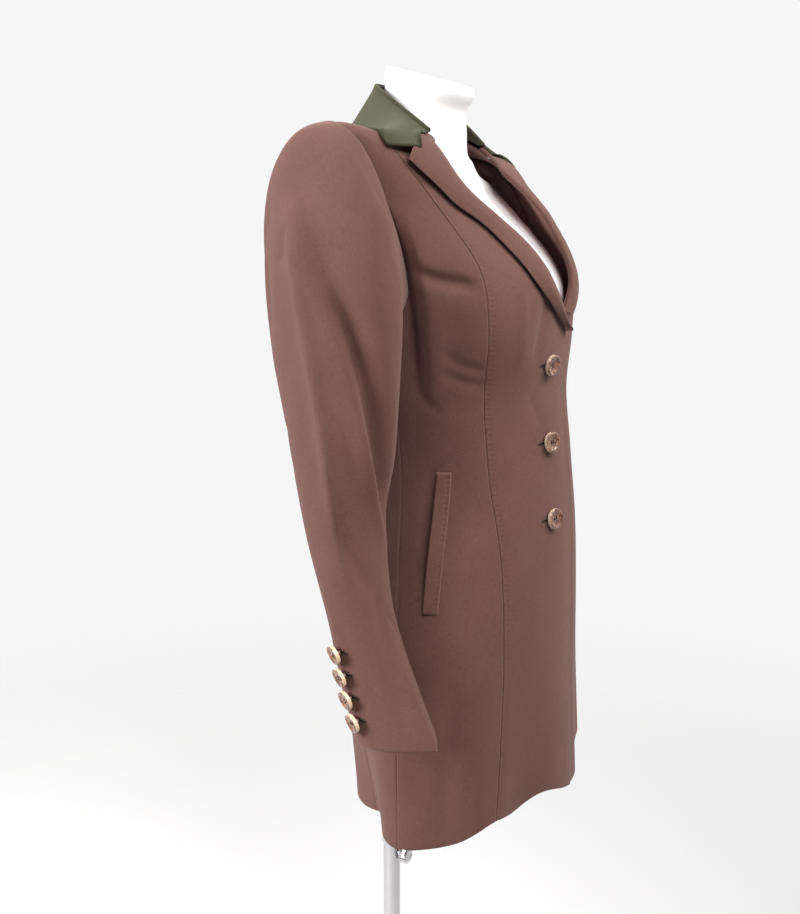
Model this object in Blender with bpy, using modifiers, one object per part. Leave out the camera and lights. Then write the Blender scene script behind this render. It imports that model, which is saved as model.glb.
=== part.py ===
"""Long alpine blazer on a limbless dress form with a telescopic stand.

Metres, +Z up. The origin is on the floor under the pole. The blazer's front
faces -Y and the wearer's right side is at -X. Heights in the coat's tables
are measured from the hem, which is HEM_HEIGHT above the floor. Angles run
round the body from the front, positive to the wearer's right, in degrees.
"""
import math
from collections import namedtuple
from functools import lru_cache

import bmesh
import bpy
import numpy as np
from mathutils import Matrix, Vector
from mathutils.bvhtree import BVHTree

# Driving dimensions
HEM_HEIGHT = 0.700
WALL = 0.0018
SEAM_GAP = 0.0003
OVERLAP_RIGHT = 0.015
OVERLAP_LEFT = 0.022
UNDERLAP = 0.0028
RIGHT, LEFT = 1, -1

# Horizontal sections of the coat's body. The station is the length up the
# side from the hem, over the shoulder to the neck.
Section = namedtuple("Section", "station z_front z_side z_back half_width y_front y_side y_back")
BODY = (
    Section(0.000, 0.000, -0.004, 0.004, 0.190, -0.217, -0.110, 0.019),
    Section(0.100, 0.100, 0.098, 0.100, 0.185, -0.210, -0.106, 0.023),
    Section(0.200, 0.200, 0.200, 0.200, 0.175, -0.207, -0.100, 0.026),
    Section(0.280, 0.280, 0.280, 0.280, 0.158, -0.205, -0.093, 0.018),
    Section(0.365, 0.365, 0.365, 0.365, 0.140, -0.199, -0.086, 0.006),
    Section(0.430, 0.430, 0.430, 0.430, 0.144, -0.193, -0.081, 0.006),
    Section(0.495, 0.490, 0.495, 0.495, 0.158, -0.195, -0.072, 0.020),
    Section(0.560, 0.548, 0.560, 0.560, 0.171, -0.192, -0.058, 0.032),
    Section(0.620, 0.598, 0.620, 0.615, 0.179, -0.160, -0.047, 0.036),
    Section(0.690, 0.645, 0.690, 0.662, 0.185, -0.118, -0.037, 0.032),
    Section(0.750, 0.662, 0.686, 0.684, 0.125, -0.101, -0.036, 0.026),
    Section(0.805, 0.677, 0.693, 0.702, 0.068, -0.089, -0.035, 0.018),
)
BODY_COLUMNS = np.array(BODY)

# The back is squarer than an ellipse from the waist up.
SQUARE_BACK = 0.05
SQUARE_FROM = 0.250
SQUARE_FULL = 0.500

# The bust's fullness, let into the princess seams
Bust = namedtuple("Bust", "angle station height half_angle above below")
BUST = Bust(34, 0.505, 0.012, 24, 0.070, 0.050)
BUST_LEFT_SHARE = 0.35

# The left shoulder has slipped back, down and in on the form.
LEFT_BACK = 0.032
LEFT_DOWN = 0.013
LEFT_IN = 0.008

# Soft folds that run up from the hem: ridges are positive, troughs negative.
Fold = namedtuple("Fold", "angle half_angle height top")
HEM_FOLDS = (
    Fold(26, 14, -0.012, 0.240),
    Fold(91, 13, 0.007, 0.260),
    Fold(124, 22, -0.032, 0.200),
    Fold(-30, 15, -0.011, 0.320),
    Fold(-96, 15, 0.006, 0.280),
    Fold(-126, 20, -0.024, 0.220),
    Fold(172, 15, -0.005, 0.240),
)

# Seam lines on the body
SeamPoint = namedtuple("SeamPoint", "station angle")
PRINCESS_SEAM = (
    SeamPoint(0.000, 41.5),
    SeamPoint(0.090, 38.0),
    SeamPoint(0.190, 37.5),
    SeamPoint(0.290, 41.5),
    SeamPoint(0.356, 47.0),
    SeamPoint(0.427, 47.0),
    SeamPoint(0.520, 44.0),
    SeamPoint(0.580, 43.0),
    SeamPoint(0.632, 47.5),
    SeamPoint(0.662, 51.5),
    SeamPoint(0.700, 63.0),
    SeamPoint(0.728, 90.0),
)
BACK_PRINCESS_SEAM = (
    SeamPoint(0.000, 130.0),
    SeamPoint(0.060, 126.0),
    SeamPoint(0.200, 130.0),
    SeamPoint(0.365, 138.0),
    SeamPoint(0.500, 135.0),
    SeamPoint(0.600, 118.0),
)
ROLL_LINE = (
    SeamPoint(0.500, -5.3),
    SeamPoint(0.515, -0.5),
    SeamPoint(0.530, 3.6),
    SeamPoint(0.548, 7.4),
    SeamPoint(0.575, 10.0),
    SeamPoint(0.603, 13.4),
    SeamPoint(0.630, 20.0),
    SeamPoint(0.655, 26.0),
    SeamPoint(0.696, 30.5),
    SeamPoint(0.740, 38.0),
    SeamPoint(0.780, 52.0),
    SeamPoint(0.792, 69.0),
    SeamPoint(0.798, 88.5),
)
BREAK_STATION = ROLL_LINE[0].station
NECK_STATION = 0.8015
SIDE_FRONT_TOP = 0.7265
SIDE_SEAM_ANGLE = 90.0
NARROWEST = 0.004

# The armhole is an egg seen from the side, widest low down.
ARMHOLE_Y = -0.036
ARMHOLE_Z = 0.540
ARMHOLE_FRONT = 0.068
ARMHOLE_BACK = 0.036
ARMHOLE_UP = 0.150
ARMHOLE_DOWN = 0.045
EGG_FRONT = 1.74
EGG_BACK = 1.30
ARMPIT_STATION = ARMHOLE_Z - ARMHOLE_DOWN
SHOULDER_STATION = ARMHOLE_Z + ARMHOLE_UP

# Lapel: where each row starts on the roll line and ends at the outer edge
LapelRow = namedtuple("LapelRow", "share roll_station edge_station edge_angle")
LAPEL = (
    LapelRow(0.00, 0.500, 0.502, -3.3),
    LapelRow(0.12, 0.514, 0.511, 4.3),
    LapelRow(0.35, 0.553, 0.550, 20.1),
    LapelRow(0.50, 0.590, 0.579, 25.0),
    LapelRow(0.66, 0.632, 0.614, 31.6),
    LapelRow(0.80, 0.672, 0.634, 40.5),
    LapelRow(0.88, 0.702, 0.646, 43.8),
    LapelRow(1.00, 0.776, 0.667, 52.0),
)
NOTCH = SeamPoint(0.690, 45.5)
NOTCH_SHARE = 0.72
LAPEL_TOP_SHARE = 0.982
LAPEL_LIFT_ROLL = 0.0028
LAPEL_LIFT_MIDDLE = 0.0050
LAPEL_LIFT_EDGE = 0.0036
LAPEL_LIFT_TOP = 0.0070
LEFT_ROLL_STAND = 0.013
LEFT_ROLL_STATION = 0.620
LEFT_ROLL_HALF = 0.055
LEFT_ROLL_TURN = 17.0

# The left front leads further in across the chest than the right one.
LEFT_LEAD = 18.0
LEFT_LEAD_RISE = (0.545, 0.665)
LEFT_LEAD_FALL = (0.700, 0.776)

# Collar: the neck seam, the top of the roll and the outer edge, from the
# centre back (turn 0) to the front end (turn 1)
CollarRow = namedtuple(
    "CollarRow", "turn seam_angle seam_station roll_x roll_y roll_z edge_angle edge_station"
)
COLLAR = (
    CollarRow(0.00, 180, 0.803, 0.000, 0.009, 0.744, 180, 0.790),
    CollarRow(0.15, 159, 0.803, 0.018, 0.0060, 0.7435, 159, 0.789),
    CollarRow(0.30, 138, 0.803, 0.034, -0.003, 0.740, 137, 0.784),
    CollarRow(0.55, 97, 0.802, 0.057, -0.028, 0.728, 98, 0.770),
    CollarRow(0.80, 66, 0.797, 0.064, -0.057, 0.708, 70, 0.737),
    CollarRow(1.00, 52, 0.786, 0.067, -0.076, 0.692, 59.5, 0.677),
)
COLLAR_ROLL_RADIUS = 0.0034
COLLAR_SEAM_LIFT = 0.0026
COLLAR_EDGE_LIFT = 0.0044
COLLAR_CROWN = 0.0020
COLLAR_NOTCH_OUT = 0.006
COLLAR_NOTCH_FORWARD = 0.016
COLLAR_NOTCH_DOWN = 0.010

# The collar's grid faces away from its hidden side, where the wall goes.
COLLAR_WALL_SIDE = -1.0

# Sleeve rings below the armhole. The reach is the length down the sleeve,
# and wide is the share of the ring's height at which it is widest.
SleeveRing = namedtuple("SleeveRing", "reach z_outer x_outer z_inner x_inner y_front y_back wide")
SLEEVE = (
    SleeveRing(0.022, 0.691, 0.208, 0.488, 0.171, -0.110, 0.012, 0.28),
    SleeveRing(0.055, 0.683, 0.238, 0.478, 0.173, -0.117, 0.018, 0.36),
    SleeveRing(0.120, 0.625, 0.259, 0.458, 0.171, -0.122, 0.013, 0.45),
    SleeveRing(0.210, 0.530, 0.263, 0.425, 0.168, -0.120, 0.005, 0.50),
    SleeveRing(0.300, 0.435, 0.262, 0.380, 0.167, -0.114, -0.011, 0.50),
    SleeveRing(0.415, 0.318, 0.262, 0.308, 0.170, -0.104, -0.035, 0.50),
    SleeveRing(0.495, 0.240, 0.268, 0.235, 0.180, -0.118, -0.063, 0.50),
    SleeveRing(0.560, 0.178, 0.274, 0.175, 0.187, -0.149, -0.077, 0.50),
    SleeveRing(0.600, 0.140, 0.278, 0.138, 0.191, -0.170, -0.090, 0.50),
)

# The left sleeve hangs straighter than the right one.
SleeveShift = namedtuple("SleeveShift", "reach inward back down")
LEFT_SLEEVE = (
    SleeveShift(0.000, 0.008, 0.032, 0.013),
    SleeveShift(0.120, 0.007, 0.034, 0.013),
    SleeveShift(0.300, 0.003, 0.046, 0.010),
    SleeveShift(0.415, 0.000, 0.062, 0.006),
    SleeveShift(0.600, -0.002, 0.096, 0.000),
)
SLEEVE_LENGTH = SLEEVE[-1].reach
SLEEVE_REACHES = np.array([0.0] + [ring.reach for ring in SLEEVE])
SLEEVE_SEAM_LIFT = 0.0010
SLEEVE_TOP_LIFT = 0.0018
FRONT_SLEEVE_SEAM = 125.0
HIND_SEAM_TOP = -60.0
HIND_SEAM_CUFF = -38.0

# Folds down the sleeve; angles from the outer side, positive to the front
SleeveFold = namedtuple("SleeveFold", "from_reach from_angle to_reach to_angle height half_width")
SLEEVE_FOLDS = (
    SleeveFold(0.170, 18, 0.430, 96, 0.0045, 0.011),
    SleeveFold(0.190, 46, 0.410, 116, -0.0060, 0.013),
    SleeveFold(0.060, -48, 0.240, -58, -0.0035, 0.012),
    SleeveFold(0.400, -20, 0.540, 30, -0.0030, 0.014),
)
SLEEVE_FOLD_RADIUS = 0.050

# Pocket welts on the side fronts
WELT_TOP = 0.366
WELT_BOTTOM = 0.231
WELT_TOP_ANGLES = (64.5, 71.5)
WELT_BOTTOM_ANGLES = (68.6, 76.0)
WELT_GAPE = 0.0026

# Buttons
BUTTON_SIDES = 12
FRONT_BUTTON_RADIUS = 0.0105
FRONT_BUTTON_STATIONS = (0.466, 0.384, 0.306)
FRONT_BUTTON_ANGLE = 11.0
FRONT_BUTTON_TILT = 10.0
FRONT_BUTTON_SHANK = 0.0020
CUFF_BUTTON_RADIUS = 0.0090
CUFF_BUTTON_ANGLE = -6.0
CUFF_BUTTON_LAST_REACH = 0.574
CUFF_BUTTON_PITCH = 0.0205
CUFF_BUTTONS = 4
CUFF_BUTTON_SHANK = 0.0033

# The cuff buttons lean on their thread towards the sleeve's back and the cuff.
CUFF_BUTTON_LEAN_BACK = 0.50
CUFF_BUTTON_LEAN_DOWN = 0.35
SHANK_RADIUS = 0.0022
SEAT_GAP = 0.0005

# Dress form: how far it stays inside the coat's surface at each station
FormRow = namedtuple("FormRow", "station clearance")
FORM = (
    FormRow(0.048, 0.050),
    FormRow(0.052, 0.040),
    FormRow(0.065, 0.034),
    FormRow(0.120, 0.024),
    FormRow(0.200, 0.015),
    FormRow(0.280, 0.012),
    FormRow(0.365, 0.010),
    FormRow(0.430, 0.010),
    FormRow(0.495, 0.011),
    FormRow(0.560, 0.010),
    FormRow(0.620, 0.009),
    FormRow(0.660, 0.010),
    FormRow(0.690, 0.010),
    FormRow(0.715, 0.008),
    FormRow(0.750, 0.005),
    FormRow(0.780, 0.006),
    FormRow(0.803, 0.007),
)
NeckRow = namedtuple("NeckRow", "z_front z_back half_width y_front y_back")
NECK = (
    NeckRow(0.694, 0.708, 0.0540, -0.0815, 0.0020),
    NeckRow(0.712, 0.728, 0.0485, -0.0820, -0.0010),
    NeckRow(0.733, 0.758, 0.0485, -0.0915, -0.0010),
    NeckRow(0.736, 0.761, 0.0465, -0.0895, -0.0030),
)
FORM_SEAT_STATION = 0.750
FORM_SIDES = 28

# Stand
POLE_SIDES = 20
POLE_OUTER_RADIUS = 0.0100
POLE_BORE_RADIUS = 0.0084
POLE_INNER_RADIUS = 0.0080
POLE_OUTER_TOP = HEM_HEIGHT - 0.112
POLE_RING_RADIUS = 0.0116
POLE_RING_HEIGHT = 0.010
POLE_INNER_BOTTOM = 0.300
SOCKET_DEPTH = 0.040
SOCKET_RADIUS = POLE_INNER_RADIUS + SEAM_GAP
FORM_BOTTOM = HEM_HEIGHT + FORM[0].station
BASE_SIDES = 40
BASE_RADIUS = 0.175
BASE_RIM = 0.008
BASE_BOSS_RADIUS = 0.018
BASE_BOSS_HEIGHT = 0.030
BASE_FLOOR = 0.006
SCREW_HEIGHT = HEM_HEIGHT - 0.136
SCREW_SHAFT_RADIUS = 0.0030
SCREW_HOLE_RADIUS = 0.0035
SCREW_KNOB_RADIUS = 0.0095
SCREW_KNOB_START = 0.0130
SCREW_KNOB_END = 0.0235
SCREW_SIDES = 16


def smooth_curve(xs, ys, x):
    """Cubic curve through a table's points, its slopes from their neighbours."""
    slopes = np.gradient(ys, xs)
    i = int(np.clip(np.searchsorted(xs, x, side="right") - 1, 0, len(xs) - 2))
    step = xs[i + 1] - xs[i]
    t = (x - xs[i]) / step
    start = (2 * t**3 - 3 * t**2 + 1) * ys[i] + (t**3 - 2 * t**2 + t) * step * slopes[i]
    end = (3 * t**2 - 2 * t**3) * ys[i + 1] + (t**3 - t**2) * step * slopes[i + 1]
    return float(start + end)


def table_value(table, column, x):
    """A column of a table at x, where x is measured in the first column."""
    xs = np.array([row[0] for row in table])
    ys = np.array([getattr(row, column) for row in table], dtype=float)
    return smooth_curve(xs, ys, x)


def smooth_step(low, high, x):
    t = min(1.0, max(0.0, (x - low) / (high - low)))
    return t * t * (3 - 2 * t)


def bell(distance, half_width):
    return math.exp(-(distance / half_width) ** 2)


def wrapped(angle):
    """The same angle between -180 and 180 degrees."""
    return (angle + 180.0) % 360.0 - 180.0


@lru_cache(maxsize=None)
def section(station):
    columns = [smooth_curve(BODY_COLUMNS[:, 0], BODY_COLUMNS[:, k], station) for k in range(1, 8)]
    return Section(station, *columns)


def fullness(angle, station, folds):
    """How far the bust and the hem's folds lift the cloth."""
    rise = station - BUST.station
    reach = BUST.above if rise > 0 else BUST.below
    turn = wrapped(angle)
    share = BUST_LEFT_SHARE + (1 - BUST_LEFT_SHARE) * smooth_step(-18, 18, turn)
    lift = BUST.height * share * bell(abs(turn) - BUST.angle, BUST.half_angle) * bell(rise, reach)
    for fold in HEM_FOLDS if folds else ():
        fade = max(0.0, 1 - station / fold.top) ** 1.5
        lift += fold.height * fade * bell(wrapped(angle - fold.angle), fold.half_angle)
    return lift


def left_settle(angle, station):
    """Share of the left shoulder's slip at a point of the body."""
    turn = wrapped(angle)
    if turn >= 0:
        return 0.0
    round_it = smooth_step(8, 85, -turn) * (1 - smooth_step(95, 172, -turn))
    return round_it * smooth_step(0.360, 0.510, station) * (1 - 0.9 * smooth_step(0.700, 0.800, station))


@lru_cache(maxsize=None)
def body_point(angle, station, folds=True):
    """A point of the coat's outer surface."""
    row = section(station)
    turn = math.radians(angle)
    square = SQUARE_BACK * (1 - math.cos(turn)) / 2 * smooth_step(SQUARE_FROM, SQUARE_FULL, station)
    across = (math.sin(turn) + square * math.sin(3 * turn)) / (1 - square)
    ahead = (math.cos(turn) - square * math.cos(3 * turn)) / (1 - square)
    reach = row.y_front if ahead > 0 else row.y_back
    level = row.z_front if ahead > 0 else row.z_back
    depth = abs(reach - row.y_side)
    normal = Vector((-across / row.half_width, -ahead / depth)).normalized()
    lift = fullness(angle, station, folds)
    x = -row.half_width * across + lift * normal.x
    y = row.y_side - depth * ahead + lift * normal.y
    z = row.z_side + (level - row.z_side) * ahead**2
    settle = left_settle(angle, station)
    return Vector((x - settle * LEFT_IN, y + settle * LEFT_BACK, HEM_HEIGHT + z - settle * LEFT_DOWN))


def raised(angle, station, out, folds=True):
    """A point at a distance from the coat's outer surface, along its normal."""
    turn, step = 0.02, 0.0002
    along = body_point(angle + turn, station, folds) - body_point(angle - turn, station, folds)
    upward = body_point(angle, station + step, folds) - body_point(angle, station - step, folds)
    return body_point(angle, station, folds) + out * upward.cross(along).normalized()


def seam(table, station):
    return table_value(table, "angle", station)


def roll_angle(side, station):
    """Angle of the roll line, without its sign on the left."""
    if side == RIGHT:
        return seam(ROLL_LINE, station)
    lead = smooth_step(*LEFT_LEAD_RISE, station) * (1 - smooth_step(*LEFT_LEAD_FALL, station))
    return seam(ROLL_LINE, station) - LEFT_LEAD * lead


def front_edge(side, station):
    """Front edge up to the break, and the roll line and neck seam above it."""
    overlap = OVERLAP_RIGHT if side == RIGHT else OVERLAP_LEFT
    edge = -math.degrees(math.asin(overlap / section(min(station, BREAK_STATION)).half_width))
    if station <= BREAK_STATION:
        return edge
    settle = smooth_step(BREAK_STATION, ROLL_LINE[2].station, station)
    return roll_angle(side, station) + (edge - ROLL_LINE[0].angle) * (1 - settle)


def princess(station):
    if station >= PRINCESS_SEAM[-1].station:
        return SIDE_SEAM_ANGLE
    return min(seam(PRINCESS_SEAM, station), SIDE_SEAM_ANGLE)


def in_armhole(point):
    height = point.z - HEM_HEIGHT - ARMHOLE_Z
    share = height / (ARMHOLE_UP if height > 0 else ARMHOLE_DOWN)
    if abs(share) >= 1:
        return False
    forward = ARMHOLE_Y - point.y
    egg = (EGG_FRONT if forward > 0 else EGG_BACK) if height > 0 else 1.0
    half = ARMHOLE_FRONT if forward > 0 else ARMHOLE_BACK
    return abs(forward) < half * (1 - share**2) ** (egg / 2)


@lru_cache(maxsize=None)
def armhole_edge(station, far_angle):
    """Angle of the armhole's edge between the side seam and far_angle."""
    inside, outside = SIDE_SEAM_ANGLE, far_angle
    if not in_armhole(body_point(inside, station)):
        return SIDE_SEAM_ANGLE
    for _ in range(40):
        middle = (inside + outside) / 2
        if in_armhole(body_point(middle, station)):
            inside = middle
        else:
            outside = middle
    return (inside + outside) / 2


def front_armhole(station):
    return armhole_edge(station, 40.0)


def back_armhole(station):
    return armhole_edge(station, 155.0)


def back_princess(station):
    if station >= BACK_PRINCESS_SEAM[-1].station:
        return back_armhole(station)
    return max(seam(BACK_PRINCESS_SEAM, station), back_armhole(station))


def armhole_rows():
    """Stations up the armhole, closer together where its edge turns."""
    low = [ARMHOLE_Z + ARMHOLE_DOWN * math.cos(math.radians(a)) for a in (180, 155, 135, 115)]
    high = [ARMHOLE_Z + ARMHOLE_UP * math.cos(math.radians(a)) for a in (90, 75, 60, 46, 32, 18, 0)]
    return low + high


def body_rows(top):
    """Stations from the hem up to a panel's top."""
    skirt = np.linspace(0.0, ARMPIT_STATION, 14)[:-1]
    yoke = (0.696, 0.702, 0.709, 0.718, SIDE_FRONT_TOP, 0.740, 0.755, 0.768, 0.780, 0.787, 0.792, 0.797)
    rows = [*skirt, *armhole_rows(), *yoke]
    return [float(row) for row in rows if row < top - 0.001] + [top]


def finish_object(name, mesh, material, collection):
    mesh.materials.append(material)
    mesh.shade_smooth()
    mesh.set_sharp_from_angle(angle=math.radians(40))
    piece = bpy.data.objects.new(name, mesh)
    collection.objects.link(piece)
    return piece


def make_shell(name, outer, inner, material, collection):
    """A closed wall between two grids of points, both listed row by row."""
    rows, columns = len(outer), len(outer[0])
    bm = bmesh.new()
    bmesh.ops.create_grid(bm, x_segments=columns - 1, y_segments=rows - 1, size=1.0)
    number = bm.verts.layers.int.new("grid_number")
    bm.verts.ensure_lookup_table()
    for i, vert in enumerate(bm.verts):
        vert[number] = i
        vert.co = outer[i // columns][i % columns]
    sheet = bm.faces[:] + bm.edges[:] + bm.verts[:]
    extruded = bmesh.ops.extrude_face_region(bm, geom=sheet, use_keep_orig=True)
    for item in extruded["geom"]:
        if isinstance(item, bmesh.types.BMVert):
            item.co = inner[item[number] // columns][item[number] % columns]
    bmesh.ops.recalc_face_normals(bm, faces=bm.faces[:])
    mesh = bpy.data.meshes.new(name)
    bm.to_mesh(mesh)
    bm.free()
    return finish_object(name, mesh, material, collection)


def seam_trim(edge, station):
    """Half a seam gap in degrees, measured across the seam's own direction."""
    step = 0.001
    angle = edge(station)
    along = body_point(angle + 0.5, station) - body_point(angle - 0.5, station)
    above, below = station + step, station - step
    line = body_point(edge(above), above) - body_point(edge(below), below)
    sine = max(0.2, along.normalized().cross(line.normalized()).length)
    return SEAM_GAP / 2 / (along.length * sine)


def make_panel(name, side, rows, edges, columns, material, collection, lift=None):
    """A body panel between two seams, trimmed by half a seam gap at each."""
    outer, inner = [], []
    for station in rows:
        first = edges[0](station) + seam_trim(edges[0], station)
        last = edges[1](station) - seam_trim(edges[1], station)
        angles = [side * float(a) for a in np.linspace(first, last, columns)]
        lifts = [lift(side * a, station) if lift else 0.0 for a in angles]
        outer.append([raised(a, station, up) for a, up in zip(angles, lifts)])
        inner.append([raised(a, station, up - WALL) for a, up in zip(angles, lifts)])
    return make_shell(name, outer, inner, material, collection)


def roll_stand(angle, station):
    """The left lapel's roll stands away from the chest."""
    from_roll = angle - roll_angle(LEFT, max(station, BREAK_STATION))
    beside = 1 - smooth_step(0.0, LEFT_ROLL_TURN, from_roll)
    return LEFT_ROLL_STAND * beside * bell(station - LEFT_ROLL_STATION, LEFT_ROLL_HALF)


def left_front_lift(angle, station):
    """The left front lies inside the right one where they overlap."""
    near = 1 - smooth_step(9.0, 18.0, angle)
    low = 1 - smooth_step(0.515, 0.575, station)
    return roll_stand(angle, station) - UNDERLAP * near * low


def make_body(cloth, collection):
    front_rows = body_rows(ROLL_LINE[-1].station)
    side_rows = body_rows(SIDE_FRONT_TOP)
    back_rows = body_rows(NECK_STATION)
    tip_rows = []
    for station in body_rows(BACK_PRINCESS_SEAM[-1].station):
        turn = math.radians(back_princess(station) - back_armhole(station))
        if turn * section(station).half_width > NARROWEST:
            tip_rows.append(station)
    for side, word in ((RIGHT, "right"), (LEFT, "left")):
        lift = left_front_lift if side == LEFT else None
        edges = (lambda station, side=side: front_edge(side, station), princess)
        make_panel(f"front_{word}", side, front_rows, edges, 7, cloth, collection, lift)
        edges = (princess, front_armhole)
        make_panel(f"side_front_{word}", side, side_rows, edges, 6, cloth, collection)
        edges = (back_armhole, back_princess)
        make_panel(f"side_back_{word}", side, tip_rows, edges, 5, cloth, collection)
    edges = (back_princess, lambda station: 360.0 - back_princess(station))
    make_panel("back", RIGHT, back_rows, edges, 13, cloth, collection)


def lapel_place(side, share, across):
    """Station and angle of a lapel point, from the roll line to the edge."""
    roll_station = table_value(LAPEL, "roll_station", share)
    edge_station = table_value(LAPEL, "edge_station", share)
    edge_angle = table_value(LAPEL, "edge_angle", share)
    start_angle = roll_angle(side, roll_station)
    station = roll_station + (edge_station - roll_station) * across
    angle = start_angle + (edge_angle - seam(ROLL_LINE, roll_station)) * across
    tent = min(across / NOTCH_SHARE, (1 - across) / (1 - NOTCH_SHARE))
    top, tip = LAPEL[-1], SeamPoint(LAPEL[-1].edge_station, LAPEL[-1].edge_angle)
    top_angle = roll_angle(side, top.roll_station)
    pull = tent * smooth_step(0.80, 1.0, share)
    station += pull * (NOTCH.station - top.roll_station - (tip.station - top.roll_station) * NOTCH_SHARE)
    angle += pull * (NOTCH.angle - top_angle - (tip.angle - top_angle) * NOTCH_SHARE)
    return station, angle


def lapel_lift(side, share, across):
    ends = LAPEL_LIFT_ROLL * (1 - across) + LAPEL_LIFT_EDGE * across
    middle = LAPEL_LIFT_MIDDLE / 2 * math.sin(math.pi * across)
    top = LAPEL_LIFT_TOP if side == RIGHT else LAPEL_LIFT_TOP / 4
    top *= (1 - 0.7 * across) * smooth_step(0.70, 1.0, share)
    return ends + middle + top


def make_lapels(cloth, collection):
    for side, word, first in ((RIGHT, "right", 0.0), (LEFT, "left", 0.17)):
        outer, inner = [], []
        for share in np.linspace(first, LAPEL_TOP_SHARE, 19):
            outer_row, inner_row = [], []
            for across in np.linspace(0.0, 1.0, 8):
                station, angle = lapel_place(side, float(share), float(across))
                lift = lapel_lift(side, float(share), float(across))
                if side == LEFT:
                    lift += roll_stand(angle, station)
                outer_row.append(raised(side * angle, station, lift))
                inner_row.append(raised(side * angle, station, lift - WALL))
            outer.append(outer_row)
            inner.append(inner_row)
        make_shell(f"lapel_{word}", outer, inner, cloth, collection)


def collar_profile(turn, side):
    """Collar section: up the stand, over the roll and down the fall."""
    at = {name: table_value(COLLAR, name, turn) for name in CollarRow._fields[1:]}
    bottom = raised(side * at["seam_angle"], at["seam_station"], COLLAR_SEAM_LIFT)
    edge = raised(side * at["edge_angle"], at["edge_station"], COLLAR_EDGE_LIFT)
    top = Vector((-side * at["roll_x"], at["roll_y"], HEM_HEIGHT + at["roll_z"]))
    outward = Vector((edge.x - top.x, edge.y - top.y, 0.0)).normalized()
    upward = Vector((0.0, 0.0, 1.0))
    centre = top - upward * COLLAR_ROLL_RADIUS
    stand_top = centre - outward * COLLAR_ROLL_RADIUS
    fall_top = centre + outward * COLLAR_ROLL_RADIUS
    notch = Vector((-side * COLLAR_NOTCH_OUT, -COLLAR_NOTCH_FORWARD, -COLLAR_NOTCH_DOWN))
    notch *= smooth_step(0.75, 1.0, turn)
    points = [bottom.lerp(stand_top, t) for t in (0.0, 0.5)]
    for degrees in (0, 45, 90, 135):
        turn_back = math.radians(degrees)
        arm = upward * math.sin(turn_back) - outward * math.cos(turn_back)
        points.append(centre + arm * COLLAR_ROLL_RADIUS)
    for t in (0.0, 0.25, 0.5, NOTCH_SHARE, 0.86, 1.0):
        tent = min(t / NOTCH_SHARE, (1 - t) / (1 - NOTCH_SHARE))
        crown = upward * COLLAR_CROWN * math.sin(math.pi * t)
        points.append(fall_top.lerp(edge, t) + crown + notch * tent)
    return points


def make_collar(felt, collection):
    turns = np.linspace(0.0, 1.0, 11)
    right = [collar_profile(float(turn), RIGHT) for turn in turns[::-1]]
    left = [collar_profile(float(turn), LEFT) for turn in turns[1:]]
    points = right + left
    rows, columns = len(points), len(points[0])
    bm = bmesh.new()
    bmesh.ops.create_grid(bm, x_segments=columns - 1, y_segments=rows - 1, size=1.0)
    bm.verts.ensure_lookup_table()
    for i, vert in enumerate(bm.verts):
        vert.co = points[i // columns][i % columns]
    mesh = bpy.data.meshes.new("collar")
    bm.to_mesh(mesh)
    bm.free()
    piece = finish_object("collar", mesh, felt, collection)
    wall = piece.modifiers.new("wall", "SOLIDIFY")
    wall.thickness = WALL
    wall.offset = COLLAR_WALL_SIDE
    return piece


def armhole_point(side, angle):
    """A point of the sleeve's seam, laid just over the armhole's edge."""
    turn = math.radians(angle)
    up, forward = math.cos(turn), math.sin(turn)
    height = ARMHOLE_Z + up * (ARMHOLE_UP if up > 0 else ARMHOLE_DOWN)
    half = ARMHOLE_FRONT if forward > 0 else ARMHOLE_BACK
    egg = (EGG_FRONT if forward > 0 else EGG_BACK) if up > 0 else 1.0
    y = ARMHOLE_Y - half * math.copysign(abs(forward) ** egg, forward)
    lift = SLEEVE_SEAM_LIFT + SLEEVE_TOP_LIFT * max(0.0, up)
    low, high = ARMPIT_STATION - 0.05, SHOULDER_STATION + 0.05
    for _ in range(40):
        station = (low + high) / 2
        place = body_angle(y, station)
        if body_point(place, station).z - HEM_HEIGHT < height:
            low = station
        else:
            high = station
    return raised(side * place, station, lift)


def body_angle(y, station):
    """Angle near the side where the body's section has this y."""
    low, high = 20.0, 160.0
    for _ in range(40):
        middle = (low + high) / 2
        if body_point(middle, station).y < y:
            low = middle
        else:
            high = middle
    return middle


@lru_cache(maxsize=None)
def sleeve_line(side, angle):
    """The sleeve's points down one line of its length, ring by ring."""
    turn = math.radians(angle)
    points = [armhole_point(side, angle)]
    slip = 1.0 if side == LEFT else 0.0
    for ring in SLEEVE:
        up = math.cos(turn)
        share = ring.wide + up * ((1 - ring.wide) if up > 0 else ring.wide)
        x = ring.x_inner + (ring.x_outer - ring.x_inner) * share
        y = (ring.y_front + ring.y_back) / 2 + math.sin(turn) * (ring.y_front - ring.y_back) / 2
        z = ring.z_inner + (ring.z_outer - ring.z_inner) * share
        x -= slip * table_value(LEFT_SLEEVE, "inward", ring.reach)
        y += slip * table_value(LEFT_SLEEVE, "back", ring.reach)
        z -= slip * table_value(LEFT_SLEEVE, "down", ring.reach)
        points.append(Vector((-side * x, y, HEM_HEIGHT + z)))
    return np.array(points)


@lru_cache(maxsize=None)
def sleeve_base(side, angle, reach):
    line = sleeve_line(side, angle)
    return Vector([smooth_curve(SLEEVE_REACHES, line[:, k], reach) for k in range(3)])


def sleeve_normal(side, angle, reach):
    turn, step = 1.0, 0.004
    low, high = max(0.0, reach - step), min(SLEEVE_LENGTH, reach + step)
    round_it = sleeve_base(side, angle + turn, reach) - sleeve_base(side, angle - turn, reach)
    down_it = sleeve_base(side, angle, high) - sleeve_base(side, angle, low)
    return side * down_it.cross(round_it).normalized()


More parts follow.
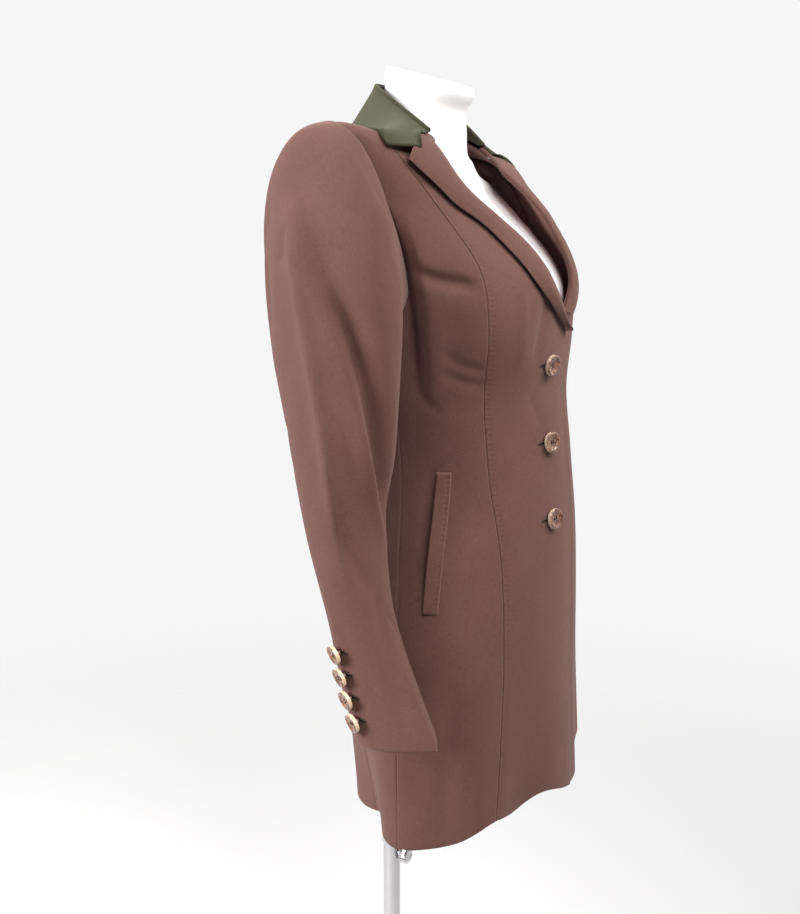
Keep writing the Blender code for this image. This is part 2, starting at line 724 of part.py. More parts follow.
def sleeve_lift(angle, reach):
    lift = 0.0
    for fold in SLEEVE_FOLDS:
        share = (reach - fold.from_reach) / (fold.to_reach - fold.from_reach)
        if 0 < share < 1:
            middle = fold.from_angle + (fold.to_angle - fold.from_angle) * share
            distance = math.radians(wrapped(angle - middle)) * SLEEVE_FOLD_RADIUS
            lift += fold.height * math.sin(math.pi * share) * bell(distance, fold.half_width)
    return lift


def sleeve_point(side, angle, reach, out=0.0):
    lift = sleeve_lift(angle, reach) + out
    return sleeve_base(side, angle, reach) + lift * sleeve_normal(side, angle, reach)


def front_seam(reach):
    return FRONT_SLEEVE_SEAM


def hind_seam(reach):
    return HIND_SEAM_TOP + (HIND_SEAM_CUFF - HIND_SEAM_TOP) * smooth_step(0.30, 0.58, reach)


def sleeve_trim(side, angle, reach):
    """Half a seam gap in degrees round the sleeve."""
    degree = sleeve_base(side, angle + 0.5, reach) - sleeve_base(side, angle - 0.5, reach)
    return SEAM_GAP / 2 / degree.length


def make_sleeves(cloth, collection):
    reaches = (*np.linspace(0.0, 0.06, 5), *np.linspace(0.085, SLEEVE_LENGTH, 15))
    reaches = [float(reach) for reach in reaches]
    halves = (
        ("top_sleeve", hind_seam, front_seam),
        ("under_sleeve", front_seam, lambda reach: hind_seam(reach) + 360.0),
    )
    for side, word in ((RIGHT, "right"), (LEFT, "left")):
        for half, first, last in halves:
            outer, inner = [], []
            for reach in reaches:
                start = first(reach) + sleeve_trim(side, first(reach), reach)
                end = last(reach) - sleeve_trim(side, last(reach), reach)
                angles = [float(a) for a in np.linspace(start, end, 10)]
                outer.append([sleeve_point(side, a, reach) for a in angles])
                inner.append([sleeve_point(side, a, reach, -WALL) for a in angles])
            make_shell(f"{half}_{word}", outer, inner, cloth, collection)


def tree_of(*pieces):
    """The pieces' faces, to measure distances from."""
    points, faces = [], []
    for piece in pieces:
        start = len(points)
        points.extend(vert.co for vert in piece.data.vertices)
        faces.extend([start + i for i in face.vertices] for face in piece.data.polygons)
    return BVHTree.FromPolygons(points, faces)


def moved_near(tree, point, direction, gap):
    """The point moved along a direction until it is a gap from the faces."""
    for _ in range(60):
        step = tree.find_nearest(point)[3] - gap
        if step < 0.000005:
            break
        point = point + direction * step
    return point


def make_welts(cloth, collection):
    for side, word in ((RIGHT, "right"), (LEFT, "left")):
        tree = tree_of(collection.objects[f"side_front_{word}"])
        outer, inner = [], []
        for t in np.linspace(0.0, 1.0, 10):
            station = WELT_BOTTOM + (WELT_TOP - WELT_BOTTOM) * float(t)
            first = WELT_BOTTOM_ANGLES[0] + (WELT_TOP_ANGLES[0] - WELT_BOTTOM_ANGLES[0]) * float(t)
            last = WELT_BOTTOM_ANGLES[1] + (WELT_TOP_ANGLES[1] - WELT_BOTTOM_ANGLES[1]) * float(t)
            outer_row, inner_row = [], []
            for w in (0.0, 0.5, 1.0):
                angle = side * (first + (last - first) * w)
                above = raised(angle, station, 0.010)
                normal = (above - body_point(angle, station)).normalized()
                gape = WELT_GAPE * w * math.sin(math.pi * float(t))
                foot = moved_near(tree, above, -normal, SEAT_GAP) + normal * gape
                inner_row.append(foot)
                outer_row.append(foot + normal * WALL)
            outer.append(outer_row)
            inner.append(inner_row)
        make_shell(f"welt_{word}", outer, inner, cloth, collection)


def turned(name, profile, sides, material, collection, closed=False):
    """A profile of radius and height, turned round the Z axis."""
    mesh = bpy.data.meshes.new(name)
    count = len(profile)
    edges = [(i, i + 1) for i in range(count - 1)]
    if closed:
        edges.append((count - 1, 0))
    mesh.from_pydata([(radius, 0.0, height) for radius, height in profile], edges, [])
    piece = finish_object(name, mesh, material, collection)
    screw = piece.modifiers.new("turn", "SCREW")
    screw.steps = sides
    screw.render_steps = sides
    screw.use_merge_vertices = True
    screw.merge_threshold = 0.00005
    screw.use_smooth_shade = True
    return piece


def button_profile(radius, shank):
    """Dished disc with a raised rim, on a short shank that ends at height 0."""
    return (
        (0.0, shank + 0.0032),
        (0.58 * radius, shank + 0.0034),
        (0.76 * radius, shank + 0.0048),
        (0.90 * radius, shank + 0.0050),
        (radius, shank + 0.0038),
        (radius, shank + 0.0016),
        (0.90 * radius, shank + 0.0003),
        (SHANK_RADIUS, shank),
        (SHANK_RADIUS, 0.0),
        (0.0, 0.0),
    )


def facing(normal, upward):
    """Rotation that turns +Z to the normal and keeps +Y near upward."""
    across = upward.cross(normal).normalized()
    return Matrix((across, normal.cross(across), normal)).transposed()


def place_button(name, radius, shank, foot, normal, horn, collection):
    piece = turned(name, button_profile(radius, shank), BUTTON_SIDES, horn, collection)
    piece.matrix_world = Matrix.Translation(foot) @ facing(normal, Vector((0.0, 0.0, 1.0))).to_4x4()


def cuff_button_lean(side, reach, normal):
    """Direction that a cuff button faces, beside the sleeve's normal."""
    here = sleeve_base(side, CUFF_BUTTON_ANGLE, reach)
    back = (sleeve_base(side, CUFF_BUTTON_ANGLE - 2.0, reach) - here).normalized()
    down = (sleeve_base(side, CUFF_BUTTON_ANGLE, reach + 0.005) - here).normalized()
    return (normal + CUFF_BUTTON_LEAN_BACK * back + CUFF_BUTTON_LEAN_DOWN * down).normalized()


def make_buttons(horn, collection):
    tree = tree_of(collection.objects["front_right"])
    for number, station in enumerate(FRONT_BUTTON_STATIONS, start=1):
        above = raised(FRONT_BUTTON_ANGLE, station, 0.010)
        normal = (above - body_point(FRONT_BUTTON_ANGLE, station)).normalized()
        foot = moved_near(tree, above, -normal, SEAT_GAP)
        normal = Matrix.Rotation(math.radians(-FRONT_BUTTON_TILT), 3, "Z") @ normal
        name = f"front_button_{number}"
        place_button(name, FRONT_BUTTON_RADIUS, FRONT_BUTTON_SHANK, foot, normal, horn, collection)
    for side, word in ((RIGHT, "right"), (LEFT, "left")):
        tree = tree_of(collection.objects[f"top_sleeve_{word}"])
        for number in range(1, CUFF_BUTTONS + 1):
            reach = CUFF_BUTTON_LAST_REACH - (CUFF_BUTTONS - number) * CUFF_BUTTON_PITCH
            normal = sleeve_normal(side, CUFF_BUTTON_ANGLE, reach)
            above = sleeve_point(side, CUFF_BUTTON_ANGLE, reach, 0.010)
            lean = cuff_button_lean(side, reach, normal)
            dip = SHANK_RADIUS * math.sin(lean.angle(normal))
            foot = moved_near(tree, above, -normal, SEAT_GAP + dip)
            name = f"cuff_button_{word}_{number}"
            place_button(name, CUFF_BUTTON_RADIUS, CUFF_BUTTON_SHANK, foot, lean, horn, collection)


def form_point(tree, angle, row):
    """A point of the torso; the coat rests on it at the top of each shoulder."""
    point = raised(angle, row.station, -row.clearance, False)
    if row.station == FORM_SEAT_STATION and abs(abs(wrapped(angle)) - SIDE_SEAM_ANGLE) < 1.0:
        normal = (body_point(angle, row.station, False) - point).normalized()
        point = moved_near(tree, point, normal, SEAM_GAP)
    return point


def form_ring(tree, row):
    if isinstance(row, FormRow):
        return [form_point(tree, 360.0 * k / FORM_SIDES, row) for k in range(FORM_SIDES)]
    middle = (row.y_front + row.y_back) / 2
    depth = (row.y_back - row.y_front) / 2
    ring = []
    for k in range(FORM_SIDES):
        turn = 2 * math.pi * k / FORM_SIDES
        tilt = (row.z_back - row.z_front) / 2 * math.cos(turn)
        height = HEM_HEIGHT + (row.z_front + row.z_back) / 2 - tilt
        ring.append(Vector((-row.half_width * math.sin(turn), middle - depth * math.cos(turn), height)))
    return ring


def make_form(plastic, collection, cutters):
    """Torso and neck lofted through rings, with a socket for the pole."""
    yoke = ("front_right", "front_left", "side_front_right", "side_front_left", "back")
    tree = tree_of(*(collection.objects[name] for name in yoke))
    bm = bmesh.new()
    loops = []
    for row in FORM + NECK:
        circle = bmesh.ops.create_circle(bm, segments=FORM_SIDES, radius=1.0)
        for vert, place in zip(circle["verts"], form_ring(tree, row)):
            vert.co = place
        loops.append(list({edge for vert in circle["verts"] for edge in vert.link_edges}))
    for lower, upper in zip(loops, loops[1:]):
        bmesh.ops.bridge_loops(bm, edges=lower + upper)
    bmesh.ops.holes_fill(bm, edges=loops[0] + loops[-1], sides=FORM_SIDES)
    bmesh.ops.recalc_face_normals(bm, faces=bm.faces[:])
    mesh = bpy.data.meshes.new("form_torso")
    bm.to_mesh(mesh)
    bm.free()
    piece = finish_object("form_torso", mesh, plastic, collection)
    half = SOCKET_DEPTH
    bpy.ops.mesh.primitive_cylinder_add(
        vertices=POLE_SIDES, radius=SOCKET_RADIUS, depth=2 * half, location=(0.0, 0.0, FORM_BOTTOM)
    )
    cut_with(piece, bpy.context.object, "socket", cutters)


def cut_with(piece, cutter, word, cutters):
    cutter.name = f"{piece.name}_{word}_cutter"
    for holder in list(cutter.users_collection):
        holder.objects.unlink(cutter)
    cutters.objects.link(cutter)
    cutter.hide_render = True
    cutter.display_type = "WIRE"
    cut = piece.modifiers.new(word, "BOOLEAN")
    cut.operation = "DIFFERENCE"
    cut.solver = "EXACT"
    cut.object = cutter


def make_stand(chrome, steel, collection, cutters):
    inner_top = FORM_BOTTOM + SOCKET_DEPTH - SEAM_GAP
    inner_profile = (
        (0.0, inner_top),
        (POLE_INNER_RADIUS, inner_top),
        (POLE_INNER_RADIUS, POLE_INNER_BOTTOM),
        (0.0, POLE_INNER_BOTTOM),
    )
    turned("pole_inner", inner_profile, POLE_SIDES, chrome, collection)
    socket_floor = BASE_FLOOR + SEAM_GAP
    outer_profile = (
        (POLE_BORE_RADIUS, POLE_OUTER_TOP),
        (POLE_RING_RADIUS - 0.0006, POLE_OUTER_TOP),
        (POLE_RING_RADIUS, POLE_OUTER_TOP - 0.0006),
        (POLE_RING_RADIUS, POLE_OUTER_TOP - POLE_RING_HEIGHT),
        (POLE_OUTER_RADIUS, POLE_OUTER_TOP - POLE_RING_HEIGHT - 0.0006),
        (POLE_OUTER_RADIUS, socket_floor),
        (POLE_BORE_RADIUS, socket_floor),
    )
    tube = turned("pole_outer", outer_profile, POLE_SIDES, chrome, collection, closed=True)
    bpy.ops.mesh.primitive_cylinder_add(
        vertices=SCREW_SIDES,
        radius=SCREW_HOLE_RADIUS,
        depth=POLE_OUTER_RADIUS * 2,
        location=(0.0, -POLE_OUTER_RADIUS, SCREW_HEIGHT),
        rotation=(math.pi / 2, 0.0, 0.0),
    )
    cut_with(tube, bpy.context.object, "screw_hole", cutters)
    knob_profile = (
        (0.0, SCREW_KNOB_END),
        (SCREW_KNOB_RADIUS - 0.0020, SCREW_KNOB_END),
        (SCREW_KNOB_RADIUS, SCREW_KNOB_END - 0.0020),
        (SCREW_KNOB_RADIUS, SCREW_KNOB_START + 0.0010),
        (SCREW_KNOB_RADIUS - 0.0010, SCREW_KNOB_START),
        (SCREW_SHAFT_RADIUS, SCREW_KNOB_START),
        (SCREW_SHAFT_RADIUS, POLE_INNER_RADIUS + SEAM_GAP),
        (0.0, POLE_INNER_RADIUS + SEAM_GAP),
    )
    screw = turned("clamp_screw", knob_profile, SCREW_SIDES, chrome, collection)
    screw.location = (0.0, 0.0, SCREW_HEIGHT)
    screw.rotation_euler = (math.pi / 2, 0.0, 0.0)
    bore = POLE_OUTER_RADIUS + SEAM_GAP
    base_profile = (
        (0.0, BASE_FLOOR),
        (bore, BASE_FLOOR),
        (bore, BASE_BOSS_HEIGHT),
        (bore + 0.003, BASE_BOSS_HEIGHT),
        (BASE_BOSS_RADIUS, BASE_BOSS_HEIGHT - 0.003),
        (BASE_BOSS_RADIUS, BASE_RIM + 0.006),
        (BASE_BOSS_RADIUS + 0.010, BASE_RIM + 0.003),
        (BASE_RADIUS - 0.006, BASE_RIM),
        (BASE_RADIUS, BASE_RIM - 0.003),
        (BASE_RADIUS, 0.002),
        (BASE_RADIUS - 0.002, 0.0),
        (0.0, 0.0),
    )
    turned("base_plate", base_profile, BASE_SIDES, steel, collection)


def make_material(name, colour, roughness, metallic=0.0):
    material = bpy.data.materials.new(name)
    material.use_nodes = True
    shader = material.node_tree.nodes["Principled BSDF"]
    shader.inputs["Base Color"].default_value = (*colour, 1.0)
    shader.inputs["Roughness"].default_value = roughness
    shader.inputs["Metallic"].default_value = metallic
    return material


for old in list(bpy.data.objects):
    bpy.data.objects.remove(old, do_unlink=True)

parts = bpy.data.collections.new("alpine_blazer_on_dress_form")
hidden = bpy.data.collections.new("cutters")
bpy.context.scene.collection.children.link(parts)
bpy.context.scene.collection.children.link(hidden)

brown_cloth = make_material("brown_cloth", (0.085, 0.045, 0.038), 0.85)
green_felt = make_material("green_felt", (0.055, 0.062, 0.030), 0.90)
horn_brown = make_material("horn", (0.30, 0.19, 0.12), 0.35)
white_plastic = make_material("white_plastic", (0.80, 0.79, 0.78), 0.40)
chrome_tube = make_material("chrome", (0.75, 0.75, 0.76), 0.12, 1.0)
painted_steel = make_material("painted_steel", (0.70, 0.70, 0.70), 0.45, 0.2)

make_body(brown_cloth, parts)
make_lapels(brown_cloth, parts)
make_collar(green_felt, parts)
make_sleeves(brown_cloth, parts)
make_welts(brown_cloth, parts)
make_buttons(horn_brown, parts)
make_form(white_plastic, parts, hidden)
make_stand(chrome_tube, painted_steel, parts, hidden)
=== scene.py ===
"""Looks of a long brown blazer on its white dress form and chrome stand.

Metres, +Z up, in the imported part's own frame. The blazer's front faces -Y and
the wearer's right is -X. Heights in the coat's tables are measured from the
hem. Angles run round the body from the front, positive to the wearer's right.
"""
import math
from collections import namedtuple

import bmesh
import bpy
import numpy as np
from mathutils import Matrix, Vector
from mathutils.bvhtree import BVHTree


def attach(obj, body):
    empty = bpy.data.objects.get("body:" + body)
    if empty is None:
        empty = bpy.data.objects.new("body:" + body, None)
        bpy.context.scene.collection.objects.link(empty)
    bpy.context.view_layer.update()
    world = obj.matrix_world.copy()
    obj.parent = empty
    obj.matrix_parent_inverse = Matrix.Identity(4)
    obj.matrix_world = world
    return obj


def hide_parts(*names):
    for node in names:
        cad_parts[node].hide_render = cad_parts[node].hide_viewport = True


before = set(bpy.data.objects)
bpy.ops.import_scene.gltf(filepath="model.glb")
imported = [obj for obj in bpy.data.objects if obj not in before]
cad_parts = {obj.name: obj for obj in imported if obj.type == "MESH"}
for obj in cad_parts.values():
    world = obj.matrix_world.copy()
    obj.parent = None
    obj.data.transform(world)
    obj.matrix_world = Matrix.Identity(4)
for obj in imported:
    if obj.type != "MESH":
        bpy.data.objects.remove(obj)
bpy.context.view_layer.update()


# Floor stand: a pressed steel foot painted light grey, with a chromed tube
# pushed into its socket. A thinner chromed pole slides in the tube, and a
# knurled thumb screw clamps it at the height wanted.
POLE_RADIUS = 0.0080
POLE_FOOT, POLE_HEAD = 0.300, 0.7877
TUBE_RADIUS, TUBE_BORE = 0.0100, 0.0084
TUBE_FOOT, TUBE_TOP = 0.0063, 0.588
RING_RADIUS, RING_HEIGHT = 0.0116, 0.010
SCREW_HEIGHT, SCREW_RADIUS = 0.564, 0.0030
KNOB_RADIUS, KNOB_START, KNOB_END = 0.0095, 0.0130, 0.0235
KNOB_RIBS, RIB_DEPTH, RIB_FROM = 20, 0.0006, 0.8
PLATE_RADIUS, PLATE_RIM = 0.175, 0.008
BOSS_RADIUS, BOSS_HEIGHT = 0.018, 0.030
WELD, SHARP_FROM = 0.00001, math.radians(35)
PLATE_SIDES, TUBE_SIDES, KNOB_SIDES = 128, 72, 160


def place(tree, kind, inputs, **settings):
    """A shader node with its settings, its values and its links."""
    made = tree.nodes.new(kind)
    for key, value in settings.items():
        setattr(made, key, value)
    for socket, value in inputs.items():
        if isinstance(value, bpy.types.NodeSocket):
            tree.links.new(value, made.inputs[socket])
        else:
            made.inputs[socket].default_value = value
    return made


def new_finish(name, **sockets):
    """A material whose shader has these plain values; spaces are underscores."""
    finish = bpy.data.materials.new(name)
    finish.use_nodes = True
    shader = finish.node_tree.nodes["Principled BSDF"]
    for key, value in sockets.items():
        shader.inputs[key.replace("_", " ")].default_value = value
    return finish, finish.node_tree, shader


def new_group(name, inputs, outputs):
    """An empty node group with float, colour and vector sockets."""
    group = bpy.data.node_groups.new(name, "ShaderNodeTree")
    for direction, sockets in (("INPUT", inputs), ("OUTPUT", outputs)):
        for socket, kind in sockets.items():
            group.interface.new_socket(socket, in_out=direction, socket_type=f"NodeSocket{kind}")
    return group, group.nodes.new("NodeGroupInput").outputs, group.nodes.new("NodeGroupOutput").inputs


def noise_value(tree, scale, **more):
    """Noise in the piece's own space."""
    where = place(tree, "ShaderNodeTexCoord", {})
    inputs = {"Vector": where.outputs["Object"], "Scale": scale} | more
    return place(tree, "ShaderNodeTexNoise", inputs).outputs["Fac"]


def add_relief(tree, shader, height, strength, distance):
    """A finish's fine relief, from a height that changes over the surface."""
    relief = place(tree, "ShaderNodeBump", {"Height": height, "Strength": strength, "Distance": distance})
    tree.links.new(relief.outputs["Normal"], shader.inputs["Normal"])


def add_smudges(tree, shader, scale, clean, smudged):
    """A finish's roughness, between clean and smudged places."""
    inputs = {"Scale": scale, "Clean": clean, "Smudged": smudged}
    film = place(tree, "ShaderNodeGroup", inputs, node_tree=smudge_group)
    tree.links.new(film.outputs["Roughness"], shader.inputs["Roughness"])


def add_piece(name, mesh, finish, body, slot, *nodes):
    """A shown piece that rides on a body and stands for its CAD nodes."""
    mesh.materials.append(finish)
    piece = bpy.data.objects.new(name, mesh)
    bpy.context.scene.collection.objects.link(piece)
    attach(piece, body)
    if nodes:
        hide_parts(*nodes)
    return piece


def turned(name, profile, sides, ribs=0):
    """Mesh of (radius, height) pairs turned round Z, with any ribs on its rim."""
    bm = bmesh.new()
    verts = [bm.verts.new((radius, 0.0, height)) for radius, height in profile]
    edges = [bm.edges.new(pair) for pair in zip(verts, verts[1:])]
    bmesh.ops.spin(
        bm, geom=verts + edges, axis=(0, 0, 1), cent=(0, 0, 0), steps=sides, angle=math.tau
    )
    bmesh.ops.remove_doubles(bm, verts=bm.verts[:], dist=WELD)
    bmesh.ops.recalc_face_normals(bm, faces=bm.faces[:])
    for vert in bm.verts if ribs else ():
        radius = math.hypot(vert.co.x, vert.co.y)
        if radius > RIB_FROM * KNOB_RADIUS:
            groove = RIB_DEPTH * (0.5 + 0.5 * math.cos(ribs * math.atan2(vert.co.y, vert.co.x)))
            vert.co.xy *= 1 - groove / radius
    mesh = bpy.data.meshes.new(name)
    bm.to_mesh(mesh)
    bm.free()
    mesh.shade_smooth()
    mesh.set_sharp_from_angle(angle=SHARP_FROM)
    return mesh


smudge_group, given, smudge = new_group(
    "smudges", {"Scale": "Float", "Clean": "Float", "Smudged": "Float"}, {"Roughness": "Float"}
)
cloud = noise_value(smudge_group, given["Scale"], Detail=6.0, Roughness=0.6)
blur = place(smudge_group, "ShaderNodeMapRange", {
    "Value": cloud, "From Min": 0.35, "From Max": 0.70, "To Min": given["Clean"], "To Max": given["Smudged"],
})
smudge_group.links.new(blur.outputs["Result"], smudge["Roughness"])

chrome, tree, shader = new_finish("polished_chrome", Metallic=1.0, Base_Color=(0.58, 0.57, 0.58, 1.0))
add_smudges(tree, shader, 35.0, 0.06, 0.20)

grey_paint, tree, shader = new_finish("grey_paint", Base_Color=(0.62, 0.62, 0.62, 1.0), Coat_Weight=0.2)
add_smudges(tree, shader, 12.0, 0.38, 0.55)
add_relief(tree, shader, noise_value(tree, 900.0, Detail=2.0), 0.15, 0.0002)

plate_profile = (
    (0.0, 0.006),
    (TUBE_RADIUS + 0.0003, 0.006),
    (TUBE_RADIUS + 0.0003, BOSS_HEIGHT - 0.0008),
    (TUBE_RADIUS + 0.0011, BOSS_HEIGHT),
    (BOSS_RADIUS - 0.0035, BOSS_HEIGHT - 0.0006),
    (BOSS_RADIUS - 0.0010, BOSS_HEIGHT - 0.0022),
    (BOSS_RADIUS, BOSS_HEIGHT - 0.0050),
    (BOSS_RADIUS, PLATE_RIM + 0.0080),
    (BOSS_RADIUS + 0.0018, PLATE_RIM + 0.0050),
    (BOSS_RADIUS + 0.0060, PLATE_RIM + 0.0034),
    (BOSS_RADIUS + 0.0140, PLATE_RIM + 0.0027),
    (PLATE_RADIUS - 0.0060, PLATE_RIM),
    (PLATE_RADIUS - 0.0022, PLATE_RIM - 0.0008),
    (PLATE_RADIUS - 0.0004, PLATE_RIM - 0.0025),
    (PLATE_RADIUS, PLATE_RIM - 0.0045),
    (PLATE_RADIUS, 0.0016),
    (PLATE_RADIUS - 0.0016, 0.0),
    (0.0, 0.0),
)
tube_profile = (
    (TUBE_BORE, TUBE_TOP - 0.060),
    (TUBE_BORE, TUBE_TOP - 0.0004),
    (TUBE_BORE + 0.0004, TUBE_TOP),
    (RING_RADIUS - 0.0010, TUBE_TOP),
    (RING_RADIUS - 0.0003, TUBE_TOP - 0.0003),
    (RING_RADIUS, TUBE_TOP - 0.0010),
    (RING_RADIUS, TUBE_TOP - RING_HEIGHT + 0.0006),
    (RING_RADIUS - 0.0004, TUBE_TOP - RING_HEIGHT),
    (TUBE_RADIUS, TUBE_TOP - RING_HEIGHT - 0.0006),
    (TUBE_RADIUS, TUBE_FOOT),
)
pole_profile = (
    (0.0, POLE_HEAD),
    (POLE_RADIUS - 0.0006, POLE_HEAD),
    (POLE_RADIUS, POLE_HEAD - 0.0006),
    (POLE_RADIUS, POLE_FOOT + 0.0006),
    (POLE_RADIUS - 0.0006, POLE_FOOT),
    (0.0, POLE_FOOT),
)
knob_profile = (
    (0.0, KNOB_END - 0.0006),
    (KNOB_RADIUS - 0.0040, KNOB_END - 0.0006),
    (KNOB_RADIUS - 0.0032, KNOB_END),
    (KNOB_RADIUS - 0.0014, KNOB_END),
    (KNOB_RADIUS - 0.0004, KNOB_END - 0.0006),
    (KNOB_RADIUS, KNOB_END - 0.0018),
    (KNOB_RADIUS, KNOB_START + 0.0012),
    (KNOB_RADIUS - 0.0008, KNOB_START),
    (SCREW_RADIUS, KNOB_START),
    (SCREW_RADIUS, POLE_RADIUS + 0.0003),
    (0.0, POLE_RADIUS + 0.0003),
)
plate = turned("foot_plate", plate_profile, PLATE_SIDES)
tube = turned("stand_tube", tube_profile, TUBE_SIDES)
pole = turned("sliding_pole", pole_profile, TUBE_SIDES)
knob = turned("thumb_screw", knob_profile, KNOB_SIDES, KNOB_RIBS)
knob.transform(Matrix.Translation((0.0, 0.0, SCREW_HEIGHT)) @ Matrix.Rotation(math.pi / 2, 4, "X"))
add_piece("foot_plate", plate, grey_paint, "stand", "painted_steel", "base_plate")
add_piece("stand_tube", tube, chrome, "stand", "chrome", "pole_outer")
add_piece("sliding_pole", pole, chrome, "form", "chrome", "pole_inner")
add_piece("thumb_screw", knob, chrome, "screw", "chrome", "clamp_screw")


# Dress form: a hollow white plastic torso without limbs, moulded in one piece
# with its neck. It fills the coat from inside and stands on the sliding pole.
HEM_HEIGHT = 0.700
RIGHT, LEFT = 1, -1
SIDES = {"right": RIGHT, "left": LEFT}


def rows_of(kind, *rows):
    """A table whose rows have the named columns of this kind."""
    return tuple(kind(*row) for row in rows)


# Horizontal sections of the coat as it hangs on the form. The station is the
# length up the side from the hem, over the shoulder to the neck.
Section = namedtuple("Section", "station z_front z_side z_back half_width y_front y_side y_back")
BODY = rows_of(
    Section,
    (0.000, 0.000, -0.004, 0.004, 0.190, -0.217, -0.110, 0.019),
    (0.100, 0.100, 0.098, 0.100, 0.185, -0.210, -0.106, 0.023),
    (0.200, 0.200, 0.200, 0.200, 0.175, -0.207, -0.100, 0.026),
    (0.280, 0.280, 0.280, 0.280, 0.158, -0.205, -0.093, 0.018),
    (0.365, 0.365, 0.365, 0.365, 0.140, -0.199, -0.086, 0.006),
    (0.430, 0.430, 0.430, 0.430, 0.144, -0.193, -0.081, 0.006),
    (0.495, 0.490, 0.495, 0.495, 0.158, -0.195, -0.072, 0.020),
    (0.560, 0.548, 0.560, 0.560, 0.171, -0.192, -0.058, 0.032),
    (0.620, 0.598, 0.620, 0.615, 0.179, -0.160, -0.047, 0.036),
    (0.690, 0.645, 0.690, 0.662, 0.185, -0.118, -0.037, 0.032),
    (0.750, 0.662, 0.686, 0.684, 0.125, -0.101, -0.036, 0.026),
    (0.805, 0.677, 0.693, 0.702, 0.068, -0.089, -0.035, 0.018),
)
SQUARE_BACK, SQUARE_FROM, SQUARE_FULL = 0.05, 0.250, 0.500
Bust = namedtuple("Bust", "angle station height half_angle above below")
BUST = Bust(34, 0.505, 0.012, 24, 0.070, 0.050)
BUST_LEFT_SHARE, BUST_SHARE_TURN = 0.35, 18
LEFT_BACK, LEFT_DOWN, LEFT_IN = 0.032, 0.013, 0.008
SETTLE_AHEAD, SETTLE_BEHIND = (8, 85), (95, 172)
SETTLE_RISE, SETTLE_FALL, SETTLE_LOSS = (0.360, 0.510), (0.700, 0.800), 0.9

# Soft folds that run up from the hem: ridges are positive, troughs negative.
Fold = namedtuple("Fold", "angle half_angle height top")
HEM_FOLDS = rows_of(
    Fold,
    (26, 14, -0.012, 0.240), (91, 13, 0.007, 0.260), (124, 22, -0.032, 0.200),
    (-30, 15, -0.011, 0.320), (-96, 15, 0.006, 0.280), (-126, 20, -0.024, 0.220),
    (172, 15, -0.005, 0.240),
)

# How far the hem rises above its level or drops below it, round the coat
HemPoint = namedtuple("HemPoint", "angle rise")
HEM_LINE = rows_of(
    HemPoint,
    (-180, -0.022), (-150, -0.018), (-110, -0.004), (-70, 0.000), (-40, 0.006), (-10, -0.010),
    (0, -0.001), (14, 0.012), (30, 0.007), (44, 0.012), (60, 0.003), (80, 0.000), (100, -0.003),
    (124, -0.007), (142, -0.019), (160, -0.022), (180, -0.022),
)
HEM_LINE_TOP, HEM_FADE_POWER = 0.200, 1.5

# How far the form's surface stays inside the coat's
FormRow = namedtuple("FormRow", "station clearance")
FORM = rows_of(
    FormRow,
    (0.048, 0.050), (0.052, 0.040), (0.065, 0.034), (0.120, 0.024), (0.200, 0.015), (0.280, 0.012),
    (0.365, 0.010), (0.430, 0.010), (0.495, 0.011), (0.560, 0.010), (0.590, 0.011), (0.620, 0.015),
    (0.660, 0.023), (0.690, 0.026), (0.715, 0.024), (0.750, 0.020), (0.780, 0.015), (0.803, 0.012),
)
NeckRow = namedtuple("NeckRow", "z_front z_back half_width y_front y_back")
NECK = rows_of(
    NeckRow,
    (0.694, 0.708, 0.0540, -0.0815, 0.0020),
    (0.712, 0.728, 0.0485, -0.0820, -0.0010),
    (0.733, 0.758, 0.0485, -0.0915, -0.0010),
    (0.7355, 0.7605, 0.0477, -0.0907, -0.0018),
)
NECK_CAP = ((0.975, 0.0006), (0.90, 0.0010), (0.50, 0.0012), (0.0, 0.0012))
FLOOR_SHARES = (0.0, 0.5, 0.96)
FORM_ANGLES, FORM_ROWS = np.arange(0.0, 360.0, 3.0), 150
NORMAL_STEPS = (0.02, 0.0002)


def smooth_curve(xs, ys, x):
    """Cubic curve through points; ys may hold whole rows of points."""
    slopes = np.gradient(ys, xs, axis=0)
    x = np.asarray(x, dtype=float)
    i = np.clip(np.searchsorted(xs, x, side="right") - 1, 0, len(xs) - 2)
    step = xs[i + 1] - xs[i]
    t = (x - xs[i]) / step
    more = (...,) + (None,) * (ys.ndim - 1)
    step, t = step[more], t[more]
    start = (2 * t**3 - 3 * t**2 + 1) * ys[i] + (t**3 - 2 * t**2 + t) * step * slopes[i]
    end = (3 * t**2 - 2 * t**3) * ys[i + 1] + (t**3 - t**2) * step * slopes[i + 1]
    return start + end


def table_curve(table, column, x):
    """A column of a table at x, where x is measured in the first column."""
    xs = np.array([row[0] for row in table])
    return smooth_curve(xs, np.array([getattr(row, column) for row in table], dtype=float), x)


def smooth_step(low, high, x):
    t = np.clip((x - low) / (high - low), 0.0, 1.0)
    return t * t * (3 - 2 * t)


def bell(distance, half_width):
    return np.exp(-((distance / half_width) ** 2))


def wrapped(angle):
    return (angle + 180.0) % 360.0 - 180.0


def unit(vectors):
    return vectors / np.linalg.norm(vectors, axis=-1, keepdims=True)


def fullness(angle, station, folds):
    """How far the bust and the hem's folds lift the cloth."""
    rise = station - BUST.station
    reach = np.where(rise > 0, BUST.above, BUST.below)
    turn = wrapped(angle)
    share = BUST_LEFT_SHARE + (1 - BUST_LEFT_SHARE) * smooth_step(-BUST_SHARE_TURN, BUST_SHARE_TURN, turn)
    lift = BUST.height * share * bell(np.abs(turn) - BUST.angle, BUST.half_angle) * bell(rise, reach)
    for fold in HEM_FOLDS if folds else ():
        beside = bell(wrapped(angle - fold.angle), fold.half_angle)
        lift = lift + fold.height * hem_fade(station, fold.top) * beside
    return lift


